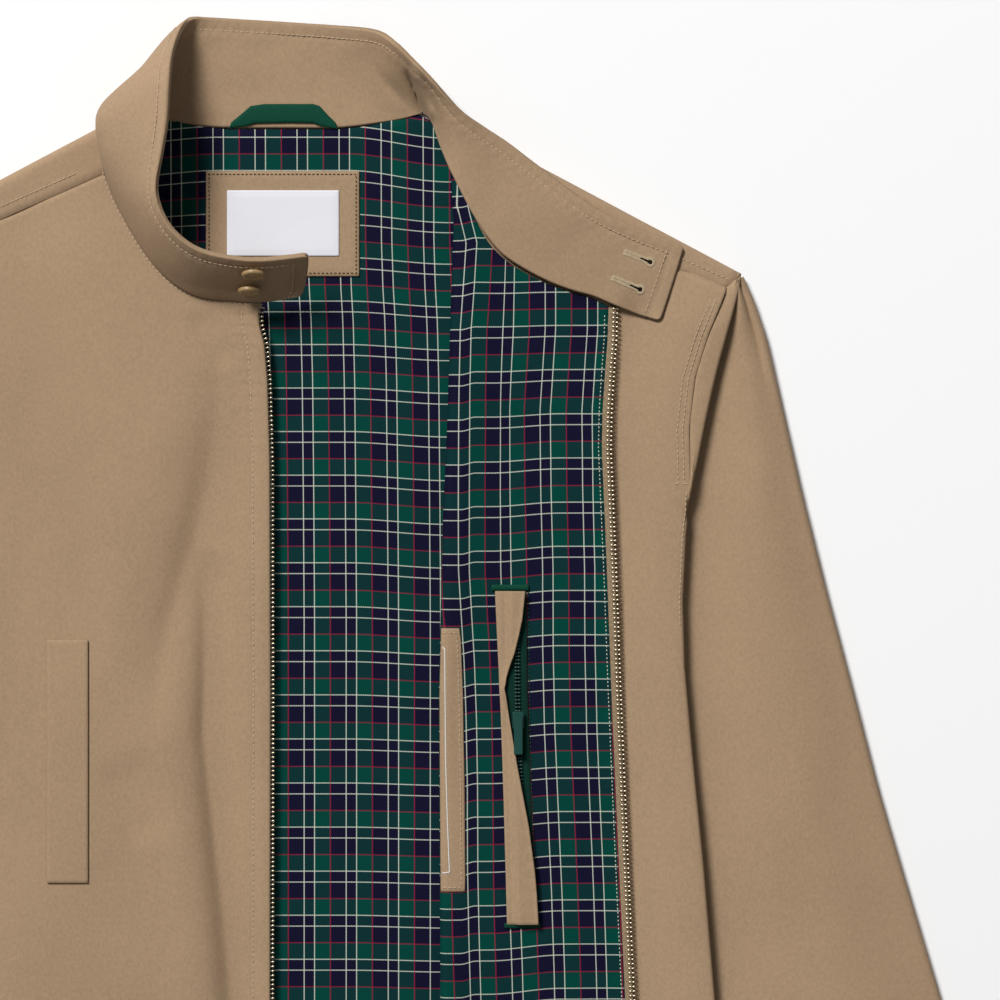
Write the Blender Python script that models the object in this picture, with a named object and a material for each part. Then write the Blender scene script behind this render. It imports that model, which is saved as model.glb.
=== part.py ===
"""A tartan-lined harrington jacket, laid on its back with the wearer's left front folded open.

Sizes are in millimetres, x to the wearer's left, y towards the collar and z up. The neck seam at
the centre of the back is x = 0, y = 0. The finished pieces are parented to an empty that sets the
origin at the bottom centre of the whole garment.
"""

from collections import namedtuple
from math import cos, exp, hypot, pi, radians, sin

import bmesh
import bpy
import numpy as np

MM = 0.001

# Driving dimensions
SHELL = 1.5
LINING = 1.2
GAP = 0.3
NECK_HALF = 88.0
NECK_POINT_Y = -22.0
SHOULDER_END = (233.6, -86.4)
SHOULDER_TIP = (242.0, -77.0)
SHOULDER_SLOPE = radians(28)
HEM_SEAM_Y = -610.0
HEM_Y = -670.0
HEM_HALF = 243.0
UNDERARM_Y = -190.0
ROLL = 4.6
LINING_TOP = SHELL + GAP + LINING
FRONT_BASE = 5.2
CLOSED_LIFT = 2.2
SIDE_TOP = 9.6
EDGE_ROLL = 1.95
COLLAR_LIFT = 1.6
SLEEVE_EDGE = 3.6
BUTTON_RADIUS = 6.3
ORIGIN_Y = -331.8

# Half widths of the front: the armhole seam down to the underarm, then the side of the body
Side = namedtuple("Side", "y x")
SIDE = [
    Side(-86, 234.0), Side(-94, 231.0), Side(-110, 224.5), Side(-133, 217.5), Side(-160, 214.5),
    Side(-190, 214.5), Side(-215, 212.5), Side(-250, 211.5), Side(-285, 212.5), Side(-330, 216.5),
    Side(-390, 222.5), Side(-462, 228.5), Side(-540, 235.5), Side(-610, 240.5), Side(-670, HEM_HALF),
]
# The rolled edge of the sleeve's crown beside the armhole seam
CROWN_EDGE = [
    Side(-88.2, 240.7), Side(-96, 238.4), Side(-107, 235.4), Side(-129, 229.5), Side(-153, 224.0),
    Side(-180, 218.6),
]
# The folded line of the opened front, and the outer line of its zip teeth
FOLD = [
    Side(-25.6, 89.0), Side(-51, 90.5), Side(-68, 89.8), Side(-160, 87.0), Side(-208, 84.8),
    Side(-300, 82.6), Side(-400, 83.2), Side(-462, 83.4), Side(-560, 83.8), Side(-670, 84.0),
]
OPEN_ZIP = [
    Side(-95, 177.0), Side(-120, 176.6), Side(-170, 175.2), Side(-200, 176.5), Side(-240, 178.2),
    Side(-300, 180.4), Side(-356, 182.8), Side(-410, 185.2), Side(-462, 187.6), Side(-560, 191.5),
    Side(-670, 195.0),
]
# The edge of the closed front, on the wearer's right
CLOSED_EDGE = [
    Side(-92, -11.0), Side(-99, -12.6), Side(-105, -12.2), Side(-115, -9.6), Side(-134, -8.0),
    Side(-176, -6.8), Side(-300, -6.4), Side(-462, -6.8), Side(-560, -7.0), Side(-670, -7.0),
]
# Sleeve: the outer fold and the inner edge, which lies under the body down to the elbow
Arm = namedtuple("Arm", "y_out x_out y_in x_in top")
SLEEVE = [
    Arm(-79, 244.0, -84, 237.4, 4.6), Arm(-92, 249.6, -96, 229.4, 5.2), Arm(-111, 256.0, -113, 221.0, 5.8),
    Arm(-144, 263.6, -146, 210.0, 6.4), Arm(-190, 274.0, -196, 202.0, 6.8), Arm(-240, 286.4, -250, 197.5, 6.8),
    Arm(-300, 302.4, -314, 200.5, 6.8), Arm(-350, 315.2, -368, 207.0, 6.8), Arm(-400, 330.0, -424, 211.5, 6.8),
    Arm(-462, 348.6, -490, 217.0, 6.8), Arm(-530, 368.6, -560, 240.0, 6.8), Arm(-595, 387.0, -630, 272.0, 6.6),
    Arm(-634, 397.0, -662, 293.0, 6.2),
]
CUFF = [Arm(-634.3, 396.0, -662.3, 295.0, 6.0), Arm(-664, 404.0, -692, 310.0, 6.4), Arm(-694, 412.5, -722, 321.0, 5.4)]

# Collar: seam to the body, the bow halfway up, and the free edge, from one front to the other
Rib = namedtuple("Rib", "seam bow edge")
COLLAR = [
    Rib((10.0, -89.2, None), (13.2, -81.0, 24.5), (15.3, -68.9, 41.0)),
    Rib((0.0, -91.0, None), (2.6, -83.0, 24.8), (3.3, -70.4, 41.5)),
    Rib((-11.3, -92.0, None), (-9.6, -84.5, 25.0), (-8.5, -71.5, 42.0)),
    Rib((-27.0, -91.0, None), (-23.6, -83.5, 25.6), (-21.0, -71.1, 43.0)),
    Rib((-42.0, -89.4, None), (-40.0, -81.5, 26.4), (-37.0, -68.0, 44.0)),
    Rib((-54.0, -84.0, None), (-52.4, -75.5, 27.2), (-47.7, -62.9, 45.5)),
    Rib((-66.0, -73.2, None), (-63.0, -66.0, 28.4), (-56.5, -54.2, 47.0)),
    Rib((-76.0, -59.0, None), (-71.5, -53.0, 29.4), (-61.6, -43.4, 48.0)),
    Rib((-85.0, -43.0, None), (-77.5, -38.5, 31.0), (-62.7, -32.4, 48.5)),
    Rib((-91.5, -28.0, None), (-82.5, -22.5, 31.0), (-59.6, -15.2, 48.0)),
    Rib((-95.0, -14.0, None), (-86.0, -6.5, 30.0), (-57.3, 0.6, 46.0)),
    Rib((-97.0, -2.0, 10.4), (-87.5, 7.6, 27.0), (-56.6, 18.6, 42.0)),
    Rib((-96.5, 7.4, 6.6), (-83.0, 19.5, 21.5), (-56.1, 32.4, 34.0)),
    Rib((-88.0, 8.6, 4.6), (-75.5, 28.0, 14.5), (-53.7, 45.3, 26.0)),
    Rib((-75.0, 6.2, 2.9), (-65.8, 37.5, 8.4), (-50.2, 54.3, 16.0)),
    Rib((-58.0, 3.4, 1.9), (-53.0, 33.0, 4.2), (-46.0, 58.0, 8.0)),
    Rib((-40.0, 0.6, 1.5), (-39.0, 29.0, 1.9), (-37.6, 58.3, 3.4)),
    Rib((-20.0, -0.1, 1.5), (-20.4, 28.5, 1.5), (-20.6, 57.4, 1.9)),
    Rib((0.0, -0.2, 1.5), (0.0, 28.0, 1.5), (0.0, 56.2, 1.5)),
    Rib((30.0, 0.0, 1.5), (27.6, 27.0, 1.5), (25.0, 54.1, 1.8)),
    Rib((51.0, 2.6, 1.7), (50.0, 26.0, 2.2), (49.0, 50.4, 4.0)),
    Rib((64.0, 5.0, 2.6), (62.6, 24.0, 4.0), (60.0, 42.8, 9.0)),
    Rib((74.0, 7.6, 5.6), (71.6, 21.0, 7.0), (68.6, 34.2, 16.5)),
    Rib((80.6, 1.4, 9.8), (79.6, 14.0, 13.0), (77.4, 25.0, 21.5)),
    Rib((84.0, -10.0, 11.0), (86.0, 4.5, 17.0), (86.6, 15.2, 22.5)),
    Rib((90.0, -25.0, None), (93.5, -7.0, 18.0), (95.6, 6.8, 20.0)),
    Rib((97.0, -39.4, None), (102.5, -18.5, 16.6), (107.2, -1.2, 16.6)),
    Rib((103.4, -50.9, None), (111.0, -28.0, 15.2), (118.5, -8.4, 14.0)),
    Rib((112.0, -62.9, None), (121.5, -39.0, 14.2), (131.0, -17.8, 12.6)),
    Rib((121.0, -70.9, None), (130.6, -47.0, 13.6), (140.0, -24.6, 12.0)),
    Rib((137.6, -80.3, None), (146.0, -58.0, 12.8), (154.5, -35.5, 11.6)),
    Rib((152.4, -86.2, None), (160.5, -65.0, 12.4), (168.5, -44.8, 11.4)),
    Rib((164.2, -89.5, None), (172.0, -69.0, 12.1), (179.5, -50.0, 11.4)),
    Rib((175.2, -94.2, None), (183.0, -74.0, 12.0), (190.5, -54.8, 11.4)),
    Rib((187.5, -98.9, None), (194.4, -78.5, 11.8), (201.5, -59.0, 11.4)),
    Rib((199.7, -102.8, None), (206.2, -83.0, 11.6), (212.3, -63.2, 11.4)),
]
NECK_RIGHT_FRONT = [(-11.0, -92.0), (-27, -91), (-42, -89.4), (-54, -84), (-66, -73.2), (-76, -59), (-85, -43),
                    (-91.5, -28), (-NECK_HALF - 5, NECK_POINT_Y)]
NECK_LEFT_FRONT = [(89, -25.6), (96, -40), (102.4, -51.5), (111, -63.6), (120, -71.6), (136.7, -81), (152, -87),
                   (163.8, -90.1), (174.4, -95)]
NECK_BACK = [(0.0, -0.5), (30, -0.5), (51, 1.9), (64, 3.5), (76, 5.4), (92, 12.6), (111.8, 22.8)]

# Soft vertical troughs in the closed front: a line down the cloth, its depth and its half width
Trough = namedtuple("Trough", "x_top y_top x_low y_low depth width")
TROUGHS = [
    Trough(-40.0, -150, -43, -300, 0.9, 16), Trough(-43, -290, -31, -470, 1.3, 13),
    Trough(-64, -250, -78, -330, 1.1, 12), Trough(-92, -340, -72, -372, 0.8, 10),
    Trough(-50, -92, -22, -112, 1.3, 8), Trough(-130, -200, -150, -420, 1.0, 18),
    Trough(-110, -460, -70, -600, 1.0, 20), Trough(-180, -300, -170, -560, 1.2, 16),
]

# The inner pocket of the opened front: its guard strip, pinched where the slider is
Guard = namedtuple("Guard", "y left right")
GUARD_UPPER = [
    Guard(-245.3, 112.7, 128.2), Guard(-259.7, 113.4, 126.7), Guard(-268.7, 113.8, 124.8),
    Guard(-277.2, 114.2, 122.7), Guard(-284.6, 114.6, 120.3), Guard(-291.3, 114.9, 118.2),
    Guard(-296.4, 115.2, 117.0),
]
GUARD_LOWER = [
    Guard(-297.6, 115.3, 117.4), Guard(-303.5, 115.5, 118.6), Guard(-312.7, 115.8, 120.1),
    Guard(-321.7, 116.1, 121.6), Guard(-335.0, 116.6, 123.6), Guard(-345.0, 116.9, 125.5),
    Guard(-357.5, 117.3, 127.9), Guard(-369.0, 117.6, 130.1), Guard(-380.6, 117.9, 131.6),
    Guard(-393.0, 118.3, 133.3), Guard(-405.0, 118.6, 134.3), Guard(-420.6, 119.0, 135.2),
]
POCKET_ZIP = [Side(-246.0, 123.6), Side(-300, 124.2), Side(-420, 128.0)]
POCKET_SLIDER_Y = -313.0
BACKING_EDGE = [
    Side(-264.8, 93.1), Side(-271, 93.9), Side(-300, 95.0), Side(-335, 95.6), Side(-396, 96.2),
    Side(-403.2, 96.0),
]
# The hanging loop at the back of the neck: its lower and its upper edge
Loop = namedtuple("Loop", "x_low y_low x_high y_high")
LOOP = [
    Loop(-28.6, 0.1, -26.5, 2.3), Loop(-18, 1.0, -17.0, 11.1), Loop(-10, 1.8, -10.0, 12.2),
    Loop(3.0, 1.8, 3.0, 12.2), Loop(16.2, 1.8, 16.2, 12.2), Loop(19.2, 1.0, 19.6, 11.1),
    Loop(29.2, -0.3, 27.3, 2.2),
]
LABEL_PATCH = (-40.3, 40.3, -23.3, -78.4)
LABEL = (-29.2, 29.7, -33.4, -67.8)
WELT = (-123.5, -102.3, -271.0, -398.6)
# Where the two buttons sit on the collar: rows along it and shares of its height
BUTTON_SPOTS = ((2.35, 0.79), (2.45, 0.45))

FABRICS = {
    "khaki_twill": ((0.39, 0.275, 0.165), 0.85, 0.0),
    "tartan_cotton": ((0.02, 0.07, 0.08), 0.85, 0.0),
    "khaki_rib": ((0.35, 0.25, 0.15), 0.9, 0.0),
    "green_tape": ((0.006, 0.12, 0.065), 0.7, 0.0),
    "label_satin": ((0.78, 0.79, 0.84), 0.5, 0.0),
    "zip_tape": ((0.3, 0.22, 0.13), 0.85, 0.0),
    "zip_metal": ((0.42, 0.34, 0.24), 0.35, 1.0),
    "green_enamel": ((0.03, 0.2, 0.13), 0.35, 0.0),
    "button_horn": ((0.32, 0.22, 0.11), 0.35, 0.0),
}


def material(name):
    """The Principled material of one fabric or metal."""
    found = bpy.data.materials.get(name)
    if found:
        return found
    colour, roughness, metallic = FABRICS[name]
    made = bpy.data.materials.new(name)
    made.use_nodes = True
    shader = made.node_tree.nodes["Principled BSDF"]
    shader.inputs["Base Color"].default_value = (*colour, 1)
    shader.inputs["Roughness"].default_value = roughness
    shader.inputs["Metallic"].default_value = metallic
    made.diffuse_color = (*colour, 1)
    return made


def add_mesh(name, points, faces, fabric, collection, origin):
    """An object from points in millimetres, its faces turned to point out."""
    mesh = bpy.data.meshes.new(name)
    mesh.from_pydata([tuple(p * MM) for p in points], [], faces)
    shape = bmesh.new()
    shape.from_mesh(mesh)
    bmesh.ops.recalc_face_normals(shape, faces=shape.faces)
    if shape.calc_volume(signed=True) < 0:
        bmesh.ops.reverse_faces(shape, faces=shape.faces)
    shape.to_mesh(mesh)
    shape.free()
    mesh.materials.append(material(fabric))
    mesh.shade_smooth()
    mesh.set_sharp_from_angle(angle=radians(50))
    made = bpy.data.objects.new(name, mesh)
    collection.objects.link(made)
    made.parent = origin
    return made


def normals_of(grid, ring):
    """A unit normal at each point of a grid, from its neighbours; a ring's columns close on themselves."""
    if ring:
        across = np.roll(grid, -1, axis=1) - np.roll(grid, 1, axis=1)
    else:
        across = np.gradient(grid, axis=1)
    down = np.gradient(grid, axis=0)
    found = np.cross(across, down)
    length = np.linalg.norm(found, axis=2, keepdims=True)
    return found / np.maximum(length, 1e-9)


def wall(grid, near, far, ring=False):
    """Points and faces of the cloth between two distances from a grid, along its normals."""
    grid = np.asarray(grid, float)
    rows, columns = grid.shape[:2]
    normal = normals_of(grid, ring)
    points = np.concatenate([(grid + normal * near).reshape(-1, 3), (grid + normal * far).reshape(-1, 3)])
    other = rows * columns
    faces = []
    spans = columns if ring else columns - 1
    for r in range(rows - 1):
        for c in range(spans):
            d = (c + 1) % columns
            a, b, e, f = r * columns + c, r * columns + d, (r + 1) * columns + d, (r + 1) * columns + c
            faces.append((a, b, e, f))
            faces.append((other + f, other + e, other + b, other + a))
    for r in (0, rows - 1):
        for c in range(spans):
            a, b = r * columns + c, r * columns + (c + 1) % columns
            faces.append((a, b, other + b, other + a))
    if not ring:
        for c in (0, columns - 1):
            for r in range(rows - 1):
                a, b = r * columns + c, (r + 1) * columns + c
                faces.append((a, b, other + b, other + a))
    return points, faces


def smooth(points, samples):
    """Points along a Catmull-Rom curve through the given ones, at the given shares of its length."""
    points = np.asarray(points, float)
    steps = np.linalg.norm(np.diff(points, axis=0), axis=1)
    at = np.concatenate([[0], np.cumsum(steps)]) / steps.sum()
    slopes = np.gradient(points, at, axis=0)
    found = []
    for share in samples:
        i = min(max(int(np.searchsorted(at, share, side="right")) - 1, 0), len(at) - 2)
        span = at[i + 1] - at[i]
        t = min(max((share - at[i]) / span, 0), 1)
        a, b = points[i], points[i + 1]
        ma, mb = slopes[i] * span, slopes[i + 1] * span
        found.append((2 * t**3 - 3 * t**2 + 1) * a + (t**3 - 2 * t**2 + t) * ma
                     + (-2 * t**3 + 3 * t**2) * b + (t**3 - t**2) * mb)
    return np.array(found)


def x_at(table, y):
    """The x of a line given from top to bottom, at one y."""
    return float(np.interp(-y, [-row.y for row in table], [row.x for row in table]))


def rise(value):
    """A smooth step from 0 to 1."""
    t = min(max(value, 0.0), 1.0)
    return t * t * (3 - 2 * t)


def seam_drop(x, y):
    """How far a point lies below the forward shoulder seam."""
    run = SHOULDER_END[0] - NECK_HALF
    fall = SHOULDER_END[1] - NECK_POINT_Y
    line = NECK_POINT_Y + (abs(x) - NECK_HALF) * fall / run
    return max((line - y) * run / hypot(run, fall), 0.0)


def trough_at(x, y):
    """Depth of the soft troughs of the closed front."""
    depth = 0.0
    for row in TROUGHS:
        dx, dy = row.x_low - row.x_top, row.y_low - row.y_top
        along = ((x - row.x_top) * dx + (y - row.y_top) * dy) / (dx * dx + dy * dy)
        held = min(max(along, 0.0), 1.0)
        away = hypot(x - row.x_top - held * dx, y - row.y_top - held * dy)
        ends = rise((along + 0.25) / 0.5) * rise((1.25 - along) / 0.5)
        depth += row.depth * ends * exp(-((away / row.width) ** 2))
    return depth


def front_top(x, y):
    """Height of the outer face of a front that lies face up."""
    base = FRONT_BASE + (CLOSED_LIFT if x < 0 else 0)
    z = base + (ROLL * 2 - base) * exp(-((seam_drop(x, y) / 26) ** 2))
    z += (SIDE_TOP - base) * rise((abs(x) - x_at(SIDE, y) + 52) / 46) * rise((-60 - y) / 50)
    if x < 0:
        return z - trough_at(x, y)
    near = (x - x_at(FOLD, y)) / 45
    return z + 1.8 * exp(-near * near) * rise((-10 - y) / 40)


def flap_loft(y):
    """Extra height of the opened front along its fold."""
    return 2.6 * rise((-40 - y) / 60)


def flap_back(x, y):
    """Height of the wrong side of the shell where the opened front lies face down."""
    away = (x - x_at(FOLD, y) - SHELL) / 15
    return front_top(x, y) + GAP + SHELL + flap_loft(y) * exp(-away * away)


def flap_top(x, y):
    """Height of the lining's face on the opened front."""
    return flap_back(x, y) + GAP + LINING


def patch(top, left, right, across, down):
    """Plan points between a top curve, two side curves and a straight bottom edge."""
    rows = []
    for i, share in enumerate(down):
        fade = (1 - share) ** 3
        row = []
        for j, s in enumerate(across):
            straight = left[i] + (right[i] - left[i]) * s
            bow = top[j] - (top[0] + (top[-1] - top[0]) * s)
            row.append(straight + bow * fade)
        rows.append(row)
    return np.array(rows)


# Share of the way down for each row; the last three rows are the hem band's
PANEL_ROWS = [0, 0.02, 0.045, 0.08, 0.12, 0.16, 0.185, 0.21, 0.25, 0.31, 0.39, 0.48, 0.58, 0.69, 0.8]
BAND_ROWS = 3
SEAM_SHARE = 0.9


def down_line(table, start, inset=0.0):
    """Plan points down a side line, from its top to the hem, one for each row."""
    found = []
    for share in PANEL_ROWS + [SEAM_SHARE]:
        y = start + (HEM_SEAM_Y - start) * share / SEAM_SHARE
        found.append((x_at(table, y) - inset, y))
    for y in (HEM_SEAM_Y - GAP, (HEM_SEAM_Y + HEM_Y) / 2, HEM_Y):
        found.append((x_at(table, y) - inset, y))
    return np.array(found, float)


def all_shares():
    """The share of the way down of every row, with the hem band's."""
    step = (1 - SEAM_SHARE) / 2
    return PANEL_ROWS + [SEAM_SHARE, SEAM_SHARE + 0.0005, SEAM_SHARE + step, 1.0]


def side_roll(y, sign, inset):
    """Points that carry a front's edge round and back under itself; above the underarm they lie flat."""
    x = x_at(SIDE, y)
    free = rise((UNDERARM_Y - 4 - y) / 16)
    low = rise((-500 - y) / 90)
    top = front_top(sign * x, y) - inset
    radius = EDGE_ROLL - inset
    middle = front_top(sign * x, y) - EDGE_ROLL
    middle += (SHELL + GAP + EDGE_ROLL - middle) * low * 0.85
    under = middle - radius
    lift = top - middle - radius
    rolled = [(x - 4.5, top)]
    for step in range(5):
        angle = pi / 2 - pi * step / 4
        tall = lift * (1 - step / 4)
        rolled.append((x - EDGE_ROLL + radius * cos(angle), middle + tall + radius * sin(angle)))
    rolled.append((x - 9.0 + 3.0 * low, under))
    points = []
    for step, (roll_x, roll_z) in enumerate(rolled):
        flat_x = x - 10.5 + 1.75 * step
        flat_z = front_top(sign * flat_x, y) - inset
        points.append((sign * (flat_x + (roll_x - flat_x) * free), y, flat_z + (roll_z - flat_z) * free))
    return points


def wall_mesh(make, name, grid, near, far, fabric, ring=False):
    """One piece of cloth from its grid."""
    points, faces = wall(grid, near, far, ring)
    make(name, points, faces, fabric)


def make_closed_front(make):
    """The wearer's right front and its hem band."""
    neck = smooth(NECK_RIGHT_FRONT, np.linspace(0, 1, 7))
    shoulder = np.linspace(neck[-1], (-SHOULDER_END[0] + 12, SHOULDER_END[1] + 5), 7)
    top = np.concatenate([neck, shoulder[1:]])
    down = all_shares()
    inner = down_line(CLOSED_EDGE, -92.0)
    side = down_line(SIDE, SHOULDER_END[1], 12.0) * (-1, 1)
    plan = patch(top, inner, side, np.linspace(0, 1, len(top)), down)
    grid = []
    for row, end in zip(plan, side):
        grid.append([(x, y, front_top(x, y)) for x, y in row] + side_roll(end[1], -1, 0))
    grid = np.array(grid)
    wall_mesh(make, "front_right", grid[:-BAND_ROWS], -SHELL, 0, "khaki_twill")
    wall_mesh(make, "hem_right", grid[-BAND_ROWS:], -SHELL, 0, "khaki_rib")


def open_front_grid(zip_inset, columns):
    """The opened front's wrong side: from the zip, over the fold and on to the side of the body."""
    down = all_shares()
    fold = down_line(FOLD, FOLD[0].y)
    zips = down_line(OPEN_ZIP, OPEN_ZIP[0].y, zip_inset)
    side = down_line(SIDE, SHOULDER_END[1], 12.0)
    radii, starts = [], []
    for x, y in fold:
        high, low = flap_back(x + 4, y), front_top(x + 4, y) - SHELL
        radii.append((high - low) / 2)
        starts.append((x + SHELL + radii[-1] + 2.0, y))
    starts = np.array(starts)
    neck = smooth(NECK_LEFT_FRONT, np.linspace(0, 1, columns))
    neck = neck + np.outer(np.linspace(1, 0, columns) ** 5, starts[0] - neck[0])
    neck[:, 0] -= np.linspace(0, zip_inset, columns)
    shoulder = np.linspace(starts[0], side[0] + (0, 5), 8)
    over = patch(neck, starts, zips, np.linspace(0, 1, columns), down)
    below = patch(shoulder, starts, side, np.linspace(0, 1, 8), down)
    grid = []
    for i, (x, y) in enumerate(fold):
        row = [(px, py, flap_back(px, py)) for px, py in over[i][::-1]]
        middle = (flap_back(x + 4, y) + front_top(x + 4, y) - SHELL) / 2
        for step in range(7):
            angle = pi / 2 + pi * step / 6
            row.append((x + SHELL + radii[i] * (1 + cos(angle)), y, middle + radii[i] * sin(angle)))
        row += [(px, py, front_top(px, py) - SHELL) for px, py in below[i]]
        grid.append(row + side_roll(side[i][1], 1, SHELL))
    return np.array(grid)


def make_open_front(make):
    """The wearer's left front folded back on itself, its hem band and the lining outside the fold."""
    grid = open_front_grid(2.6, 10)
    wall_mesh(make, "front_left", grid[:-BAND_ROWS], -SHELL, 0, "khaki_twill")
    wall_mesh(make, "hem_left", grid[-BAND_ROWS:], -SHELL, 0, "khaki_rib")
    lining = open_front_grid(6.6, 10)[:-BAND_ROWS, :10 + 7 + 2]
    wall_mesh(make, "front_left_lining", lining, GAP, GAP + LINING, "tartan_cotton")


def strip(make, name, table, start, stop, near, far, height, thickness, fabric):
    """A narrow band of cloth along a line, between two distances from it, at a height of its own."""
    grid = []
    for y in np.linspace(start, stop, 22):
        x = x_at(table, y)
        grid.append([(x + d, y, height(x + d, y)) for d in np.linspace(near, far, 3)])
    wall_mesh(make, name, np.array(grid), 0, -thickness, fabric)


def make_zip(make):
    """The tapes and the metal chains on both sides of the front."""
    strip(make, "zip_tape_left", OPEN_ZIP, -95.6, -608, -6.0, -2.9,
          lambda x, y: flap_back(x, y) + GAP, 1.0, "zip_tape")
    strip(make, "zip_chain_left", OPEN_ZIP, -95.6, -664, -2.6, 0,
          lambda x, y: flap_back(x, y) + 0.1, 2.2, "zip_metal")
    strip(make, "zip_tape_right", CLOSED_EDGE, -95, -646, -7, 0.1,
          lambda x, y: front_top(min(x, -5.0), y) - SHELL - GAP - 1.2, 1.0, "zip_tape")
    strip(make, "zip_chain_right", CLOSED_EDGE, -95, -646, 0.5, 3.1,
          lambda x, y: front_top(-5.0, y) - SHELL - GAP - 2.0, 2.2, "zip_metal")


def shoulder_frame():
    """The line at which the back starts to roll over the shoulder, and its outward direction."""
    out = np.array((sin(SHOULDER_SLOPE), cos(SHOULDER_SLOPE)))
    return np.array(SHOULDER_TIP) - out * ROLL, out


def past_roll(point):
    """Distance of a plan point beyond the line at which the roll starts."""
    line, out = shoulder_frame()
    return float(np.dot(np.asarray(point) - line, out))


def unfolded(point):
    """Place in the flat pattern of a point that lies on top, in front of the shoulder."""
    _, out = shoulder_frame()
    return np.asarray(point) + out * (pi * ROLL - 2 * past_roll(point))


def folded(point):
    """Place in space of a point of the flat pattern, carried round the shoulder."""
    _, out = shoulder_frame()
    q = past_roll(point)
    if q <= 0:
        return (point[0], point[1], 0.0)
    base = np.asarray(point) - out * q
    if q < pi * ROLL:
        move, z = ROLL * sin(q / ROLL), ROLL * (1 - cos(q / ROLL))
    else:
        move, z = pi * ROLL - q, 2 * ROLL
    base = base + out * move
    return (base[0], base[1], z)


def back_side(y):
    """Half width of the back on the floor."""
    inner = float(np.interp(-y, [-row.y_in for row in SLEEVE], [row.x_in for row in SLEEVE]))
    return min(x_at(SIDE, y) - 3.5, inner - 1.0)


def back_half():
    """Grid of the wearer's left half of the back, from the centre line to the side."""
    _, out = shoulder_frame()
    tops = [np.array(p, float) for p in smooth(NECK_BACK[:5], np.linspace(0, 0.97, 6))]
    bases = [p - (0, 3.0) for p in tops]
    first = unfolded((NECK_HALF, NECK_POINT_Y))
    last = unfolded(SHOULDER_END)
    for point in [np.array(NECK_BACK[5])] + list(np.linspace(first, last, 7)):
        tops.append(point)
        bases.append(point - out * past_roll(point))
    bases = np.array(bases)
    down = all_shares()
    start = bases[-1][1]
    side = []
    for share in PANEL_ROWS + [SEAM_SHARE]:
        y = start + (HEM_SEAM_Y - start) * share / SEAM_SHARE
        side.append((back_side(y) if share else bases[-1][0], y))
    for y in (HEM_SEAM_Y - GAP, (HEM_SEAM_Y + HEM_Y) / 2, HEM_Y):
        side.append((back_side(y), y))
    drop = (HEM_SEAM_Y - bases[0][1]) / (HEM_SEAM_Y - start)
    centre = [(0.0, max(bases[0][1] + (y - start) * drop, HEM_SEAM_Y) + min(y - HEM_SEAM_Y, 0)) for _, y in side]
    across = bases[:, 0] / bases[-1][0]
    plan = patch(bases, np.array(centre), np.array(side), across, down)
    grid = []
    for share in (1, 0.72, 0.5, 0.42, 0.34, 0.26, 0.18, 0.1):
        grid.append([folded(b + (t - b) * share) for t, b in zip(tops, bases)])
    for row in plan:
        grid.append([(x, y, 0.0) for x, y in row])
    return np.array(grid)


def make_back(make):
    """The back, carried over both shoulders, its hem band and its lining."""
    half = back_half()
    other = half[:, :0:-1] * (-1, 1, 1)
    grid = np.concatenate([other, half], axis=1)
    wall_mesh(make, "back_panel", grid[:-BAND_ROWS], 0, SHELL if grid_faces_up(grid) else -SHELL, "khaki_twill")
    wall_mesh(make, "hem_back", grid[-BAND_ROWS:], 0, SHELL if grid_faces_up(grid) else -SHELL, "khaki_rib")
    line, out = shoulder_frame()
    rows = []
    for share in np.linspace(0, 1, 14):
        row = []
        for s in np.linspace(-1, 1, 15):
            x = s * 196
            neck = float(np.interp(abs(x), [p[0] for p in NECK_BACK[:5]], [p[1] for p in NECK_BACK[:5]])) - 2 * GAP
            roll = line[1] + (line[0] - abs(x)) * out[0] / out[1] - 1.5
            top = min(neck, roll)
            row.append((x, top + (HEM_SEAM_Y + 2 - top) * share, LINING_TOP))
        rows.append(row)
    grid = np.array(rows)
    wall_mesh(make, "back_lining", grid, 0, -LINING if grid_faces_up(grid) else LINING, "tartan_cotton")


def grid_faces_up(grid):
    """Whether a grid's normals point up at its middle."""
    found = normals_of(grid, False)
    return found[found.shape[0] // 2, found.shape[1] // 2, 2] > 0


def tube_section(row):
    """Outer face of a flattened sleeve at one row, from the inner edge over the top and back below."""
    inner, outer = np.array((row.x_in, row.y_in)), np.array((row.x_out, row.y_out))
    width = float(np.linalg.norm(outer - inner))
    edge = min(SLEEVE_EDGE, row.top)
    half = edge / 2
    profile = []
    for step in range(5):
        angle = -pi / 2 - pi * step / 4
        profile.append((half + half * cos(angle), half + half * sin(angle)))
    low = row.top / 2
    for share in (0.12, 0.25, 0.4, 0.6, 0.8):
        along = half + (width - half - low) * share
        tall = edge + (row.top - edge) * rise((along - 12) / 20)
        profile.append((along, tall))
    for step in range(5):
        angle = pi / 2 - pi * step / 4
        profile.append((width - low + low * cos(angle), low + low * sin(angle)))
    for share in (0.66, 0.33):
        profile.append((half + (width - half - low) * share, 0.0))
    spot = []
    for along, z in profile:
        x, y = inner + (outer - inner) * along / width
        spot.append((x, y, z))
    return spot


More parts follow.
